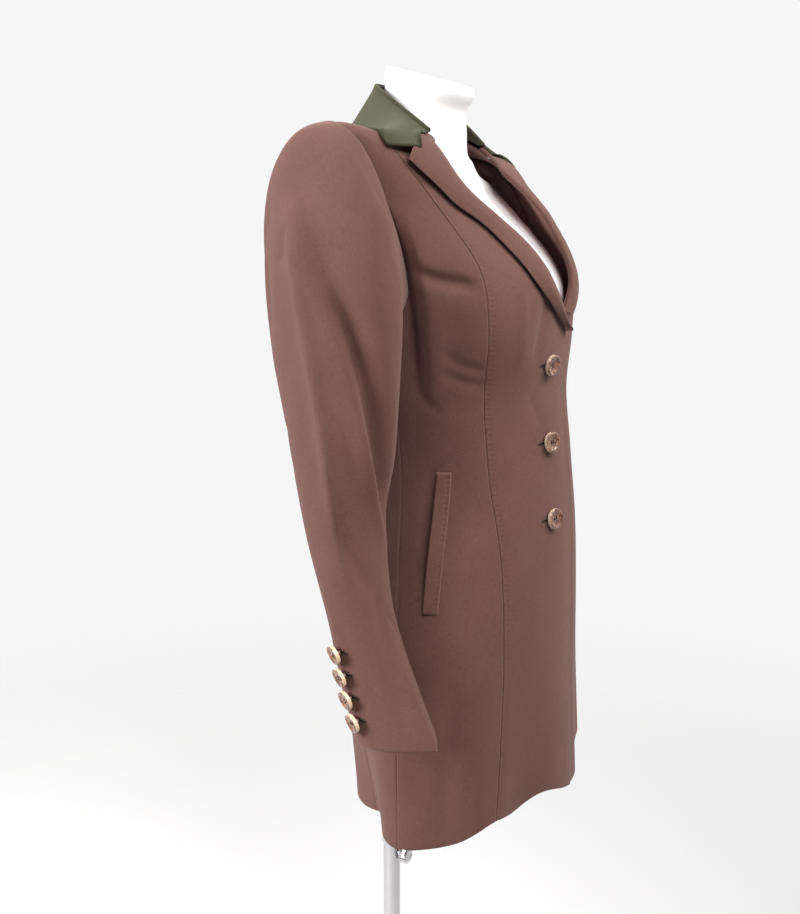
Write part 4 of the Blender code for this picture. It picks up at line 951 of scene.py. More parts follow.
GORGE_SHARE, GORGE_LAP, GORGE_RISE = 0.45, 0.008, 0.0020
GORGE_CLEAR = {RIGHT: 0.0062, LEFT: 0.0}
GORGE_NEAR, GORGE_END, CLEAR_FROM = (0.75, 0.92), 0.65, (0.10, 0.35)
FALL_SHARES = np.concatenate([np.linspace(0.0, 0.94, 24), (0.965, 0.980, 0.990, 1.0)])
STAND_SHARES, ROLL_OVER = np.linspace(0.0, 1.0, 10)[:-1], np.radians(np.linspace(0.0, 180.0, 13)[:-1])
COLLAR_ROWS, COLLAR_PASSES, COLLAR_SMOOTHING = 90, 4, 40
COLLAR_MIDDLE = np.array((0.0, -0.03, HEM_HEIGHT + 0.70))
UP = np.array((0.0, 0.0, 1.0))

# The chest and back as a plain surface, for the collar to lie on
CHEST_ANGLES, CHEST_STATIONS = np.arange(20.0, 341.0, 1.5), np.linspace(0.60, 0.803, 70)
chest_angles, chest_stations = np.meshgrid(CHEST_ANGLES, CHEST_STATIONS)
chest_normals = coat_normal(chest_angles, chest_stations)
chest = grid_mesh("chest", coat_surface(chest_angles, chest_stations), chest_normals)
chest_tree = BVHTree.FromPolygons([v.co for v in chest.vertices], [f.vertices for f in chest.polygons])
bpy.data.meshes.remove(chest)


def gorge_line(side, share):
    """Places just below the lapel's top, from the roll line to the notch."""
    top = np.full_like(share, 1 - GORGE_LAP)
    station, angle = lapel_place(side, top, share * NOTCH_SHARE)
    out = lapel_lift(side, top, share * NOTCH_SHARE) + GORGE_RISE
    if side == LEFT:
        out = out + roll_stand(angle, station)
    return on_coat(side * angle, station, out)


def collar_profile(turn, side):
    """Collar sections: up the stand, over the roll and down the fall."""
    at = {name: table_curve(COLLAR, name, turn) for name in CollarRow._fields[1:]}
    ones = np.ones_like(turn)
    bottom = on_coat(side * at["seam_angle"], at["seam_station"], COLLAR_SEAM_LIFT * ones)
    rim = on_coat(side * at["edge_angle"], at["edge_station"], COLLAR_EDGE_LIFT * ones)
    top = np.stack([-side * at["roll_x"], at["roll_y"], HEM_HEIGHT + at["roll_z"]], axis=-1)
    outward = unit((rim - top) * (1.0, 1.0, 0.0))
    centre = top - UP * COLLAR_ROLL
    stand_top, fall_top = centre - outward * COLLAR_ROLL, centre + outward * COLLAR_ROLL
    t = FALL_SHARES[:, None]
    fall = fall_top[:, None] + (rim - fall_top)[:, None] * t + UP * COLLAR_CROWN * np.sin(math.pi * t)

    # The front end follows the gorge seam to the notch and is free from there
    # to the collar's corner.
    gorge = gorge_line(side, np.minimum(FALL_SHARES / GORGE_SHARE, 1.0))
    free = np.clip((t - GORGE_SHARE) / (1 - GORGE_SHARE), 0.0, 1.0)
    front_end = gorge + (fall[-1, -1] - gorge) * free
    reach = np.clip((turn - COLLAR_REACH_FROM) / (1 - COLLAR_REACH_FROM), 0.0, 1.0) ** COLLAR_REACH_POWER
    drift = (front_end - fall[-1]) * reach[:, None, None]
    fall += drift
    stand_top, centre = stand_top + drift[:, 0], centre + drift[:, 0]
    columns = [bottom + (stand_top - bottom) * t for t in STAND_SHARES]
    for lean in ROLL_OVER:
        columns.append(centre + (UP * math.sin(lean) - outward * math.cos(lean)) * COLLAR_ROLL)

    # The fall lies on the coat, never in it.
    near_lapel = smooth_step(*GORGE_NEAR, turn)[:, None]
    near_lapel = near_lapel * (1 - smooth_step(GORGE_SHARE, GORGE_END, FALL_SHARES))
    need = COLLAR_CLEAR * smooth_step(*CLEAR_FROM, FALL_SHARES) + GORGE_CLEAR[side] * near_lapel
    for _ in range(COLLAR_PASSES):
        for row, clearances in zip(fall, need):
            for place_on, least in zip(row, clearances):
                foot, normal, _, _ = chest_tree.find_nearest(Vector(place_on))
                place_on += np.array(normal) * max(0.0, least - (Vector(place_on) - foot).dot(normal))
        for _ in range(COLLAR_SMOOTHING):
            around = (fall[:-2, 1:-1] + fall[2:, 1:-1] + fall[1:-1, :-2] + fall[1:-1, 2:]) / 4
            fall[1:-1, 1:-1] += (around - fall[1:-1, 1:-1]) / 2
    return np.concatenate([np.stack(columns, axis=1), fall], axis=1)


turns = np.linspace(0.0, 1.0, COLLAR_ROWS)
points = np.concatenate([collar_profile(turns, RIGHT)[::-1], collar_profile(turns, LEFT)[1:]])
fall_start = len(STAND_SHARES) + len(ROLL_OVER)
outside = points - COLLAR_MIDDLE
outside[:, :fall_start] = 0.0
run, across = run_along(points[:, fall_start + 9], 0), run_along(points, 1)
edge = np.minimum(across[:, -1:] - across, np.minimum(run, run[-1] - run)[:, None])

green_felt, tree, shader = new_finish(
    "green_felt", Roughness=0.92, Specular_IOR_Level=0.12,
    Sheen_Weight=0.16, Sheen_Roughness=0.6, Sheen_Tint=(0.72, 0.75, 0.55, 1.0),
)
add_weave(tree, shader, (0.034, 0.030, 0.017, 1.0), 0.35, 0.25, 1.3, 0.45, 0.0004)
sheet_piece("collar", points, outside, edge, green_felt, "green_felt")


# Sleeves: two-piece sleeves, a top half and an under half, set into the
# armholes with a little ease. The right one hangs forward in long folds.
SleeveRing = namedtuple("SleeveRing", "reach z_outer x_outer z_inner x_inner y_front y_back wide lens")
SLEEVE = rows_of(
    SleeveRing,
    (0.022, 0.691, 0.208, 0.488, 0.171, -0.110, 0.012, 0.28, 0.00),
    (0.055, 0.683, 0.238, 0.478, 0.173, -0.117, 0.018, 0.36, 0.00),
    (0.120, 0.625, 0.259, 0.458, 0.171, -0.122, 0.013, 0.45, 0.00),
    (0.210, 0.530, 0.263, 0.425, 0.168, -0.120, 0.005, 0.50, 0.00),
    (0.300, 0.435, 0.262, 0.380, 0.167, -0.114, -0.011, 0.50, 0.00),
    (0.415, 0.318, 0.262, 0.308, 0.170, -0.104, -0.035, 0.50, 0.10),
    (0.495, 0.240, 0.268, 0.235, 0.180, -0.118, -0.063, 0.50, 0.30),
    (0.560, 0.178, 0.274, 0.175, 0.187, -0.149, -0.077, 0.50, 0.55),
    (0.600, 0.140, 0.278, 0.138, 0.191, -0.170, -0.090, 0.50, 0.70),
)
SleeveShift = namedtuple("SleeveShift", "reach inward back down")
LEFT_SLEEVE = rows_of(
    SleeveShift,
    (0.000, 0.008, 0.032, 0.013), (0.120, 0.007, 0.034, 0.013), (0.300, 0.003, 0.046, 0.010),
    (0.415, 0.000, 0.062, 0.006), (0.600, -0.002, 0.096, 0.000),
)
SLEEVE_LENGTH = SLEEVE[-1].reach
SLEEVE_SEAM_LIFT, SLEEVE_TOP_LIFT = 0.0010, 0.0018
FRONT_SLEEVE_SEAM = 125.0
HIND_SEAM_TOP, HIND_SEAM_CUFF, HIND_SEAM_BEND = -60.0, -38.0, (0.30, 0.58)
SLEEVE_RADIUS = 0.050
RING_STEP = 0.5
RING_ANGLES = np.arange(HIND_SEAM_TOP - 6, HIND_SEAM_CUFF + 366, RING_STEP)
SLEEVE_CREASES = rows_of(
    Crease,
    (-20.0, 0.055, 33.0, 0.470, 0.0, 0.0066, 0.012, 0.014),
    (-15.0, 0.085, 31.0, 0.455, 0.0, 0.0050, 0.006, 0.003),
    (-16.0, 0.138, -23.5, 0.174, -0.002, -0.0026, 0.004, 0.003),
    (-30.0, 0.050, 54.0, 0.270, 0.002, -0.0110, 0.010, 0.020),
    (22.0, 0.175, 118.0, 0.415, 0.0044, -0.0130, 0.008, 0.020),
    (16.0, 0.175, 82.0, 0.385, 0.0026, 0.0040, 0.013, 0.004),
    (44.0, 0.280, 130.0, 0.440, 0.009, 0.0030, 0.012, 0.004),
    (76.5, 0.022, 46.5, 0.128, 0.0100, -0.0009, 0.004, 0.004),
    (83.5, 0.020, 55.5, 0.134, 0.0110, 0.0008, 0.004, 0.004),
    (56.5, 0.020, 46.0, 0.064, 0.0, -0.0008, 0.004, 0.004),
    (87.0, 0.474, 133.5, 0.508, 0.003, -0.0018, 0.005, 0.004),
    (17.5, 0.386, 67.0, 0.468, 0.0, -0.0024, 0.010, 0.008),
    (73.5, 0.430, 41.5, 0.590, -0.010, -0.0022, 0.010, 0.010),
    (-44.0, 0.060, -56.0, 0.240, 0.0, -0.0030, 0.012, 0.010),
    (-52.0, 0.300, -100.0, 0.352, 0.003, -0.0022, 0.008, 0.006),
    (-54.0, 0.336, -96.0, 0.392, 0.003, -0.0018, 0.007, 0.006),
    (215.0, 0.150, 170.0, 0.300, 0.003, -0.0030, 0.012, 0.010),
    (165.0, 0.330, 205.0, 0.410, 0.003, -0.0022, 0.009, 0.008),
)
LEFT_CREASE_SHIFT = 0.014
SLEEVE_HEAD_ROWS, SLEEVE_HEAD_END, SLEEVE_ROWS = (0.0, 0.0006, 0.0013, 0.0022), 0.004, 250
SLEEVE_HEAD_TURN, TOP_SLEEVE_COLUMNS, UNDER_SLEEVE_COLUMNS = 0.7, 46, 38
SIDE_FROM, SIDE_TO, ARMHOLE_ROOM, SLEEVE_PASSES = 20.0, 160.0, 0.05, 26
CUFF_ROUND, CUFF_TURN = 0.0022, 0.0010
CUFF_DIP, CUFF_DIP_FROM = 0.0085, 0.500


def body_angle(y, station):
    """Angle near the side where the body's section has this y."""
    def ahead(angle):
        return coat_surface(angle, station)[..., 1] < y

    return halved(np.full(y.shape, SIDE_FROM), np.full(y.shape, SIDE_TO), SLEEVE_PASSES, ahead)


def armhole_curve(angle):
    """Station, body angle and lift of the sleeve's seam round the armhole."""
    up, forward = np.cos(np.radians(angle)), np.sin(np.radians(angle))
    level = ARMHOLE_Z + up * np.where(up > 0, ARMHOLE_UP, ARMHOLE_DOWN)
    half = np.where(forward > 0, ARMHOLE_FRONT, ARMHOLE_BACK)
    egg = np.where(up > 0, np.where(forward > 0, EGG_FRONT, EGG_BACK), 1.0)
    y = ARMHOLE_Y - half * np.copysign(np.abs(forward) ** egg, forward)

    def below(station):
        return coat_surface(body_angle(y, station), station)[..., 2] - HEM_HEIGHT < level

    low = np.full(angle.shape, ARMHOLE_Z - ARMHOLE_DOWN - ARMHOLE_ROOM)
    high = np.full(angle.shape, ARMHOLE_Z + ARMHOLE_UP + ARMHOLE_ROOM)
    station = halved(low, high, SLEEVE_PASSES, below)
    return station, body_angle(y, station), SLEEVE_SEAM_LIFT + SLEEVE_TOP_LIFT * np.maximum(0.0, up)


seam_station, seam_around, seam_lift = armhole_curve(RING_ANGLES)


def sleeve_lines(side):
    """Points down the sleeve for each ring angle, from the armhole to the cuff."""
    turn = np.radians(RING_ANGLES)
    drawn_in = crease_lift(BODY_CREASES, side * seam_around, seam_station, BODY_RADIUS)
    lines = [on_coat(side * seam_around, seam_station, seam_lift + drawn_in)]
    slip = 1.0 if side == LEFT else 0.0
    up = np.cos(turn)
    for ring in SLEEVE:
        lens = np.copysign(np.abs(up) ** (1 + ring.lens), up)
        share = ring.wide + lens * np.where(up > 0, 1 - ring.wide, ring.wide)
        x = ring.x_inner + (ring.x_outer - ring.x_inner) * share
        y = (ring.y_front + ring.y_back) / 2 + np.sin(turn) * (ring.y_front - ring.y_back) / 2
        z = ring.z_inner + (ring.z_outer - ring.z_inner) * share
        x = x - slip * table_curve(LEFT_SLEEVE, "inward", ring.reach)
        y = y + slip * table_curve(LEFT_SLEEVE, "back", ring.reach)
        z = z - slip * table_curve(LEFT_SLEEVE, "down", ring.reach)
        lines.append(np.stack([-side * x, y, HEM_HEIGHT + z], axis=-1))
    return np.array(lines)


def sleeve_surface(side, angle, reach):
    """Points and outward normals of the sleeve; rows of angles at each reach."""
    reaches = np.array([0.0] + [ring.reach for ring in SLEEVE])
    rings = smooth_curve(reaches, sleeve_lines(side), reach)
    normal = side * unit(np.cross(np.gradient(rings, reach, axis=0), np.gradient(rings, axis=1)))
    place_on = (angle - RING_ANGLES[0]) / RING_STEP
    low = np.clip(place_on.astype(int), 0, len(RING_ANGLES) - 2)
    part = (place_on - low)[..., None]
    rows = np.arange(len(reach))[:, None]
    points = rings[rows, low] * (1 - part) + rings[rows, low + 1] * part
    return points, unit(normal[rows, low] * (1 - part) + normal[rows, low + 1] * part)


def hind_seam(reach):
    return HIND_SEAM_TOP + (HIND_SEAM_CUFF - HIND_SEAM_TOP) * smooth_step(*HIND_SEAM_BEND, reach)


def half_sleeve(node, side, reach, first, last, columns, under):
    """Half of a sleeve between its two seams, given at each reach."""
    width = row_width(sleeve_surface(side, spread(first, last, WIDTH_SHARES), reach)[0])
    share = edge_shares(width, columns, under, under)
    angle = spread(first, last, share)
    points, normal = sleeve_surface(side, angle, reach)
    from_first, from_last = share * width[:, None], (1 - share) * width[:, None]
    down = np.broadcast_to(reach[:, None], angle.shape)
    out = seam_turn(from_first) + seam_turn(from_last) + SLEEVE_HEAD_TURN * seam_turn(down)
    shift = LEFT_CREASE_SHIFT if side == LEFT else 0.0
    out += crease_lift(SLEEVE_CREASES, wrapped(angle), down + shift, SLEEVE_RADIUS)
    out -= CUFF_TURN * np.maximum(0.0, 1 - (SLEEVE_LENGTH - down) / CUFF_ROUND) ** 2
    along = unit(np.gradient(points, axis=0))
    dip = CUFF_DIP * np.sin(np.radians(angle)) ** 2 * smooth_step(CUFF_DIP_FROM, SLEEVE_LENGTH, down)
    points = points + out[..., None] * normal + dip[..., None] * along
    edge = np.minimum(np.minimum(from_first, from_last), np.minimum(down, SLEEVE_LENGTH - down))
    sheet_piece(node, points, normal, edge, brown_cloth, "brown_cloth")


cuff_rows = SLEEVE_LENGTH - np.array(HEM_ROWS)[::-1]
long_rows = np.linspace(SLEEVE_HEAD_END, SLEEVE_LENGTH - HEM_ROWS_END, SLEEVE_ROWS)
reach = np.concatenate([SLEEVE_HEAD_ROWS, long_rows, cuff_rows])
hind, fore = hind_seam(reach), np.full(reach.shape, FRONT_SLEEVE_SEAM)
for word, side in SIDES.items():
    half_sleeve(f"top_sleeve_{word}", side, reach, hind, fore, TOP_SLEEVE_COLUMNS, False)
    half_sleeve(
        f"under_sleeve_{word}", side, reach, fore, hind + 360.0, UNDER_SLEEVE_COLUMNS, True
    )


# Pocket welts: narrow doubled strips sewn along their front edge over the
# slanted pocket openings, with the back edge left free to gape.
WELT_TOP, WELT_BOTTOM = 0.366, 0.231
WELT_TOP_ANGLES, WELT_BOTTOM_ANGLES = (65.0, 72.0), (69.3, 76.7)
WELT_SEAT, WELT_GAPE, WELT_WIDTH = 0.0005, 0.0040, 0.0185
GAPE_ACROSS, GAPE_ALONG = 1.5, 0.7
SEWN_TURN, FREE_TURN, END_TURN = 1.4, 0.5, 0.8
WELT_ROWS, WELT_COLUMNS = 111, 8
for word, side in SIDES.items():
    up = np.linspace(0.0, 1.0, WELT_ROWS)[:, None]
    across = edge_shares(np.full(WELT_ROWS, WELT_WIDTH), WELT_COLUMNS)
    first, last = (low + (high - low) * up for low, high in zip(WELT_BOTTOM_ANGLES, WELT_TOP_ANGLES))
    station = np.broadcast_to(WELT_BOTTOM + (WELT_TOP - WELT_BOTTOM) * up, across.shape)
    angle = side * (first + (last - first) * across)
    from_sewn, from_free = across * WELT_WIDTH, (1 - across) * WELT_WIDTH
    from_end = np.minimum(up, 1 - up) * (WELT_TOP - WELT_BOTTOM)
    out = WELT_SEAT + WALL + WELT_GAPE * across**GAPE_ACROSS * np.sin(math.pi * up) ** GAPE_ALONG
    out = out + crease_lift(BODY_CREASES, angle, station, BODY_RADIUS) + pucker(from_sewn, station)
    for turned_down, distance in ((SEWN_TURN, from_sewn), (FREE_TURN, from_free), (END_TURN, from_end)):
        out += turned_down * seam_turn(distance)
    edge = np.minimum(np.minimum(from_sewn, from_free), from_end)
    points, normal = on_coat(angle, station, out), coat_normal(angle, station)
    sheet_piece(f"welt_{word}", points, normal, edge, brown_cloth, "brown_cloth")


# Buttons: thick slices of horn, pale round the sawn edge and mottled brown in
# the dished face, each with four holes. The cuff buttons lean on their thread.
FRONT_BUTTON_RADIUS, FRONT_BUTTON_SHANK = 0.0105, 0.0020
FRONT_BUTTON_STATIONS = (0.466, 0.384, 0.306)
FRONT_BUTTON_ANGLE, FRONT_BUTTON_TILT = 11.0, 10.0
CUFF_BUTTON_RADIUS, CUFF_BUTTON_SHANK = 0.0090, 0.0033
CUFF_BUTTON_ANGLE, CUFF_BUTTON_LAST, CUFF_BUTTON_PITCH = -6.0, 0.574, 0.0205
CUFF_LEAN_BACK, CUFF_LEAN_DOWN, CUFF_FOOT = 0.50, 0.35, 0.0016
BUTTON_SEAT, BUTTON_SPIN = 0.0004, 0.7
CUFF_BUTTONS, BESIDE_TURN = 4, 2.0

# Shares of the radius and heights over the shank in millimetres
BUTTON_PROFILE = (
    (0.00, 3.20), (0.05, 3.20), (0.10, 3.20), (0.14, 3.20), (0.18, 3.20), (0.22, 3.20), (0.26, 3.21),
    (0.30, 3.22), (0.34, 3.24), (0.40, 3.28), (0.46, 3.34), (0.52, 3.45), (0.58, 3.62), (0.64, 3.90),
    (0.69, 4.22), (0.74, 4.56), (0.78, 4.76), (0.82, 4.90), (0.86, 4.98), (0.90, 4.96), (0.94, 4.82),
    (0.97, 4.55), (0.99, 4.15), (1.00, 3.60), (1.00, 2.90), (1.00, 2.20), (0.99, 1.50), (0.97, 0.95),
    (0.93, 0.50), (0.86, 0.18), (0.70, 0.02), (0.30, 0.00), (0.21, 0.00),
)
FACE_ROWS, RIND_ROW, RIND_ROWS, FOOT_ROWS = 24, 20, 3, 3
WOBBLE_TWO, WOBBLE_THREE, FACE_WARP, BUTTON_MIDDLE = 0.020, 0.014, 0.0004, 0.0012
HOLE_OFFSET, HOLE_RADIUS, HOLE_DEPTH = 0.20, 0.085, 0.0016
BUTTON_SECTORS = 72


def button_mesh(name, radius, shank, number):
    """A horn slice, not quite round, with four holes; the foot is at 0."""
    turn = np.arange(BUTTON_SECTORS) * 2 * math.pi / BUTTON_SECTORS
    ring = np.array([row[0] for row in BUTTON_PROFILE] + [BUTTON_PROFILE[-1][0]])[:, None]
    level = np.array([row[1] / 1000 + shank for row in BUTTON_PROFILE] + [0.0])[:, None]
    wobble = 1 + WOBBLE_TWO * np.sin(2 * turn + number) + WOBBLE_THREE * np.sin(3 * turn + 2.3 * number)
    x, y = ring * radius * np.cos(turn) * wobble, ring * radius * np.sin(turn) * wobble
    row = np.arange(len(ring))[:, None]
    face = row < FACE_ROWS
    z = level + face * ring**2 * FACE_WARP * np.sin(2 * turn + 1.7 * number)
    for corner in range(4):
        aim = math.radians(45 + 90 * corner)
        gap = np.hypot(x / radius - HOLE_OFFSET * math.cos(aim), y / radius - HOLE_OFFSET * math.sin(aim))
        z = z - face * HOLE_DEPTH * smooth_step(1.0, 0.6, gap / HOLE_RADIUS)
    points = np.stack(np.broadcast_arrays(x, y, z), axis=-1)
    mesh = grid_mesh(name, points, points - np.array((0.0, 0.0, shank + BUTTON_MIDDLE)), loop=True)
    rind = np.clip((row - RIND_ROW) / RIND_ROWS, 0.0, 1.0) * (row < len(ring) - FOOT_ROWS)
    mark_points(mesh, "rind", rind * np.ones(BUTTON_SECTORS))
    return mesh


horn, tree, shader = new_finish(
    "polished_horn", Coat_Weight=0.6, Coat_Roughness=0.10, Subsurface_Weight=0.05
)
cell = noise_value(tree, 380.0, Detail=5.0, Distortion=1.6)
mottle = place(tree, "ShaderNodeValToRGB", {"Fac": cell})
dark_horn, light_horn = mottle.color_ramp.elements
dark_horn.position, dark_horn.color = 0.38, (0.060, 0.024, 0.014, 1.0)
light_horn.position, light_horn.color = 0.68, (0.46, 0.25, 0.16, 1.0)
mottle.color_ramp.elements.new(0.50).color = (0.17, 0.078, 0.046, 1.0)
rind = place(tree, "ShaderNodeAttribute", {}, attribute_name="rind").outputs["Fac"]
patchy = worked(tree, "MULTIPLY_ADD", worked(tree, "SUBTRACT", cell, 0.55), 1.6, rind)
rim = place(tree, "ShaderNodeMapRange", {"Value": patchy, "From Min": 0.35, "From Max": 0.75})
tones = {0: rim.outputs["Result"], 6: mottle.outputs["Color"], 7: (0.68, 0.50, 0.35, 1.0)}
pale = place(tree, "ShaderNodeMix", tones, data_type="RGBA")
tree.links.new(pale.outputs[2], shader.inputs["Base Color"])
add_smudges(tree, shader, 160.0, 0.20, 0.40)
add_relief(tree, shader, cell, 0.30, 0.0005)
sewn = []


def sew_on(name, node, radius, shank, number, foot, normal):
    """A button turned to face along the normal, with its foot on the cloth."""
    normal = Vector(normal)
    across = Vector((0.0, 0.0, 1.0)).cross(normal).normalized()
    turned_to = Matrix((across, normal.cross(across), normal)).transposed().to_4x4()
    spin = Matrix.Rotation(BUTTON_SPIN * number, 4, "Z")
    stand = Matrix.Translation(Vector(foot)) @ turned_to @ spin
    mesh = button_mesh(name, radius, shank, number)
    mesh.transform(stand)
    sewn.append((stand, radius, shank))
    add_piece(name, mesh, horn, "form", "horn", node)


for number, station in enumerate(FRONT_BUTTON_STATIONS, start=1):
    normal = coat_normal(FRONT_BUTTON_ANGLE, station)
    foot = on_coat(FRONT_BUTTON_ANGLE, station, BUTTON_SEAT)
    lean = Matrix.Rotation(math.radians(-FRONT_BUTTON_TILT), 3, "Z") @ Vector(normal)
    name, node = f"front_horn_{number}", f"front_button_{number}"
    sew_on(name, node, FRONT_BUTTON_RADIUS, FRONT_BUTTON_SHANK, number, foot, lean)
cuff_reach = CUFF_BUTTON_LAST - np.arange(CUFF_BUTTONS - 1, -1, -1) * CUFF_BUTTON_PITCH
for word, side in SIDES.items():
    beside = np.broadcast_to((CUFF_BUTTON_ANGLE - BESIDE_TURN, CUFF_BUTTON_ANGLE), (CUFF_BUTTONS, 2))
    points, normals = sleeve_surface(side, beside, cuff_reach)
    back, down = unit(points[:, 0] - points[:, 1]), unit(np.gradient(points[:, 1], axis=0))
    lean = unit(normals[:, 1] + CUFF_LEAN_BACK * back + CUFF_LEAN_DOWN * down)
    for i in range(CUFF_BUTTONS):
        foot = points[i, 1] + CUFF_FOOT * normals[i, 1]
        name, node = f"cuff_horn_{word}_{i + 1}", f"cuff_button_{word}_{i + 1}"
        number = CUFF_BUTTONS * (1 + side) + i
        sew_on(name, node, CUFF_BUTTON_RADIUS, CUFF_BUTTON_SHANK, number, foot, lean[i])


# Sewing thread: dark brown twist that holds the buttons, two strands through
# each one's holes, and that is worked round the buttonholes as a raised cord.
# A dark sheet in each buttonhole's slit is painted shade.
THREAD_RADIUS, THREAD_ARCH, THREAD_SINK, THREAD_POINTS = 0.00045, 0.0006, 0.0009, 13
DISH_HEIGHT = BUTTON_PROFILE[0][1] / 1000
HOLE_CORD, HOLE_HALF_HEIGHT, CORD_SIDES = 0.0006, 0.0011, 8
HOLE_SQUARE, CORD_SEAT, SLIT_SEAT, SLIT_SHARE = 0.6, 0.0003, 0.0004, 0.6
HOLE_STITCHES, STITCH_BUMP = 30, 0.14
FRONT_HOLE, CUFF_HOLE = (-0.003, 0.0185), (-0.006, 0.0070)
HOLE_POINTS, HOLE_STEPS = 120, 60


def cord_mesh(name, paths, radius, closed):
    """Round cords, one along each pair of path points and outward normals."""
    verts, quads = [], []
    around = np.arange(CORD_SIDES) * math.tau / CORD_SIDES
    for path, out in paths:
        count, first = len(path), len(verts)
        after = np.roll(path, -1, axis=0) if closed else path[np.minimum(np.arange(count) + 1, count - 1)]
        before = np.roll(path, 1, axis=0) if closed else path[np.maximum(np.arange(count) - 1, 0)]
        aside = unit(np.cross(after - before, out))
        swell = 1 + STITCH_BUMP * np.cos(math.tau * HOLE_STITCHES * np.arange(count) / count) * closed
        ring = np.cos(around)[None, :, None] * out[:, None] + np.sin(around)[None, :, None] * aside[:, None]
        verts += (path[:, None] + radius * swell[:, None, None] * ring).reshape(-1, 3).tolist()
        for i in range(count if closed else count - 1):
            for k in range(CORD_SIDES):
                low, high = first + i * CORD_SIDES, first + (i + 1) % count * CORD_SIDES
                n = (k + 1) % CORD_SIDES
                quads.append((low + k, low + n, high + n, high + k))
    mesh = bpy.data.meshes.new(name)
    mesh.from_pydata(verts, [], quads)
    mesh.shade_smooth()
    return mesh


twist, tree, shader = new_finish(
    "brown_twist", Base_Color=(0.045, 0.024, 0.020, 1.0), Specular_IOR_Level=0.3
)
where = place(tree, "ShaderNodeTexCoord", {})
wave = {"Vector": where.outputs["Object"], "Scale": 700.0, "Distortion": 1.0}
add_relief(tree, shader, place(tree, "ShaderNodeTexWave", wave).outputs["Fac"], 0.4, 0.0003)
# Painted shade: a near-black finish for the sheets that stand in for the shadow inside each slit.
slit_painted_shade, tree, shader = new_finish("buttonhole_painted_shade", Roughness=1.0, Specular_IOR_Level=0.0)
shade_mottle = {0: (0.014, 0.008, 0.007), "Scale": noise_value(tree, 900.0)}
dim = place(tree, "ShaderNodeVectorMath", shade_mottle, operation="SCALE")
tree.links.new(dim.outputs["Vector"], shader.inputs["Base Color"])

strands = []
t = np.linspace(-1.0, 1.0, THREAD_POINTS)
for stand, radius, shank in sewn:
    turn = np.array(stand.to_3x3())
    out = np.broadcast_to(turn @ UP, (THREAD_POINTS, 3))
    half_gap = HOLE_OFFSET * math.sqrt(0.5) * radius
    level = shank + DISH_HEIGHT - THREAD_SINK + (THREAD_ARCH + THREAD_SINK) * (1 - t**4)
    for row in (-1, 1):
        strand = np.stack([half_gap * t, np.full(THREAD_POINTS, row * half_gap), level], axis=-1)
        strands.append((strand @ turn.T + np.array(stand.translation), out))
thread_mesh = cord_mesh("button_thread", strands, THREAD_RADIUS, False)
add_piece("button_thread", thread_mesh, twist, "form", "brown_cloth")


def front_spot(along, up, station):
    """Places on the right front beside a button, and their normals."""
    ends = coat_surface(np.array((FRONT_BUTTON_ANGLE, FRONT_BUTTON_ANGLE + 1)), station)
    angle = FRONT_BUTTON_ANGLE + along / np.linalg.norm(ends[1] - ends[0])
    out = crease_lift(BODY_CREASES, angle, station + up, BODY_RADIUS)
    return on_coat(angle, station + up, out), coat_normal(angle, station + up)


def cuff_spot(along, up, reach, side):
    """Places on a cuff beside a button, and their normals."""
    ends = sleeve_surface(side, np.array([[0.0, 1.0], [0.0, 1.0]]), np.array([reach - 0.001, reach]))[0]
    angle = CUFF_BUTTON_ANGLE + along / np.linalg.norm(ends[1, 1] - ends[1, 0])
    steps = np.arange(-HOLE_STEPS, HOLE_STEPS + 1)
    rows = reach + steps * HOLE_HALF_HEIGHT / HOLE_STEPS
    points, normals = sleeve_surface(side, np.broadcast_to(angle, (len(steps), len(angle))), rows)
    pick = np.round((up / HOLE_HALF_HEIGHT + 1) * HOLE_STEPS).astype(int)
    return points[pick, np.arange(len(angle))], normals[pick, np.arange(len(angle))]


spots = [(FRONT_HOLE, front_spot, (station,)) for station in FRONT_BUTTON_STATIONS]
spots += [(CUFF_HOLE, cuff_spot, (reach, side)) for side in SIDES.values() for reach in cuff_reach]
cords, slit_shade_loops = [], []
turn = np.arange(HOLE_POINTS) * math.tau / HOLE_POINTS
for (near, far), spot, at in spots:
    swing = np.copysign(np.abs(np.cos(turn)) ** HOLE_SQUARE, np.cos(turn))
    along = (near + far) / 2 + (far - near) / 2 * swing
    up = HOLE_HALF_HEIGHT * np.sin(turn)
    path, out = spot(along, up, *at)
    cords.append((path + CORD_SEAT * out, out))
    slit_shade_loops.append(spot(along, SLIT_SHARE * up, *at)[0] + SLIT_SEAT * out)
edging = cord_mesh("buttonhole_cord", cords, HOLE_CORD, True)
add_piece("buttonhole_cord", edging, twist, "form", "brown_cloth")
# Painted shade: dark sheets that fill the buttonhole slits in place of the shadow in the opening.
slit_shade_mesh = bpy.data.meshes.new("buttonhole_slit_shade")
verts, quads = [], []
for loop in slit_shade_loops:
    first = len(verts)
    verts += loop.tolist()
    for i in range(HOLE_POINTS // 2 - 1):
        corners = (i, i + 1, HOLE_POINTS - 2 - i, HOLE_POINTS - 1 - i)
        quads.append([first + corner for corner in corners])
slit_shade_mesh.from_pydata(verts, [], quads)
slit_shade_mesh.shade_smooth()
add_piece("buttonhole_slit_shade", slit_shade_mesh, slit_painted_shade, "form", "brown_cloth")


# Studio: a pale floor that fades into a bright white background, in a room
# that is darker on the camera's side. A large soft light stands at the camera's
# left, and two weak, narrow ones hang high at its right.
CAMERA_PLACE = (-1.1269, -0.6071, 1.305)
CAMERA_FORWARD = (0.8663, 0.4582, -0.1987)
CAMERA_LENS = 46.08
FLOOR_RADIUS, FLOOR_SIDES, FLOOR_DROP, FLOOR_FADE = 3.2, 96, 0.0005, (0.7, 2.6)
BACKGROUND, ROOM_BRIGHT, ROOM_DARK, ROOM_EDGE, BRIGHT_RISE = 0.920, 1.02, 0.10, 0.6, 1.2
LIGHT_AIM = Vector((0.0, -0.08, 1.25))

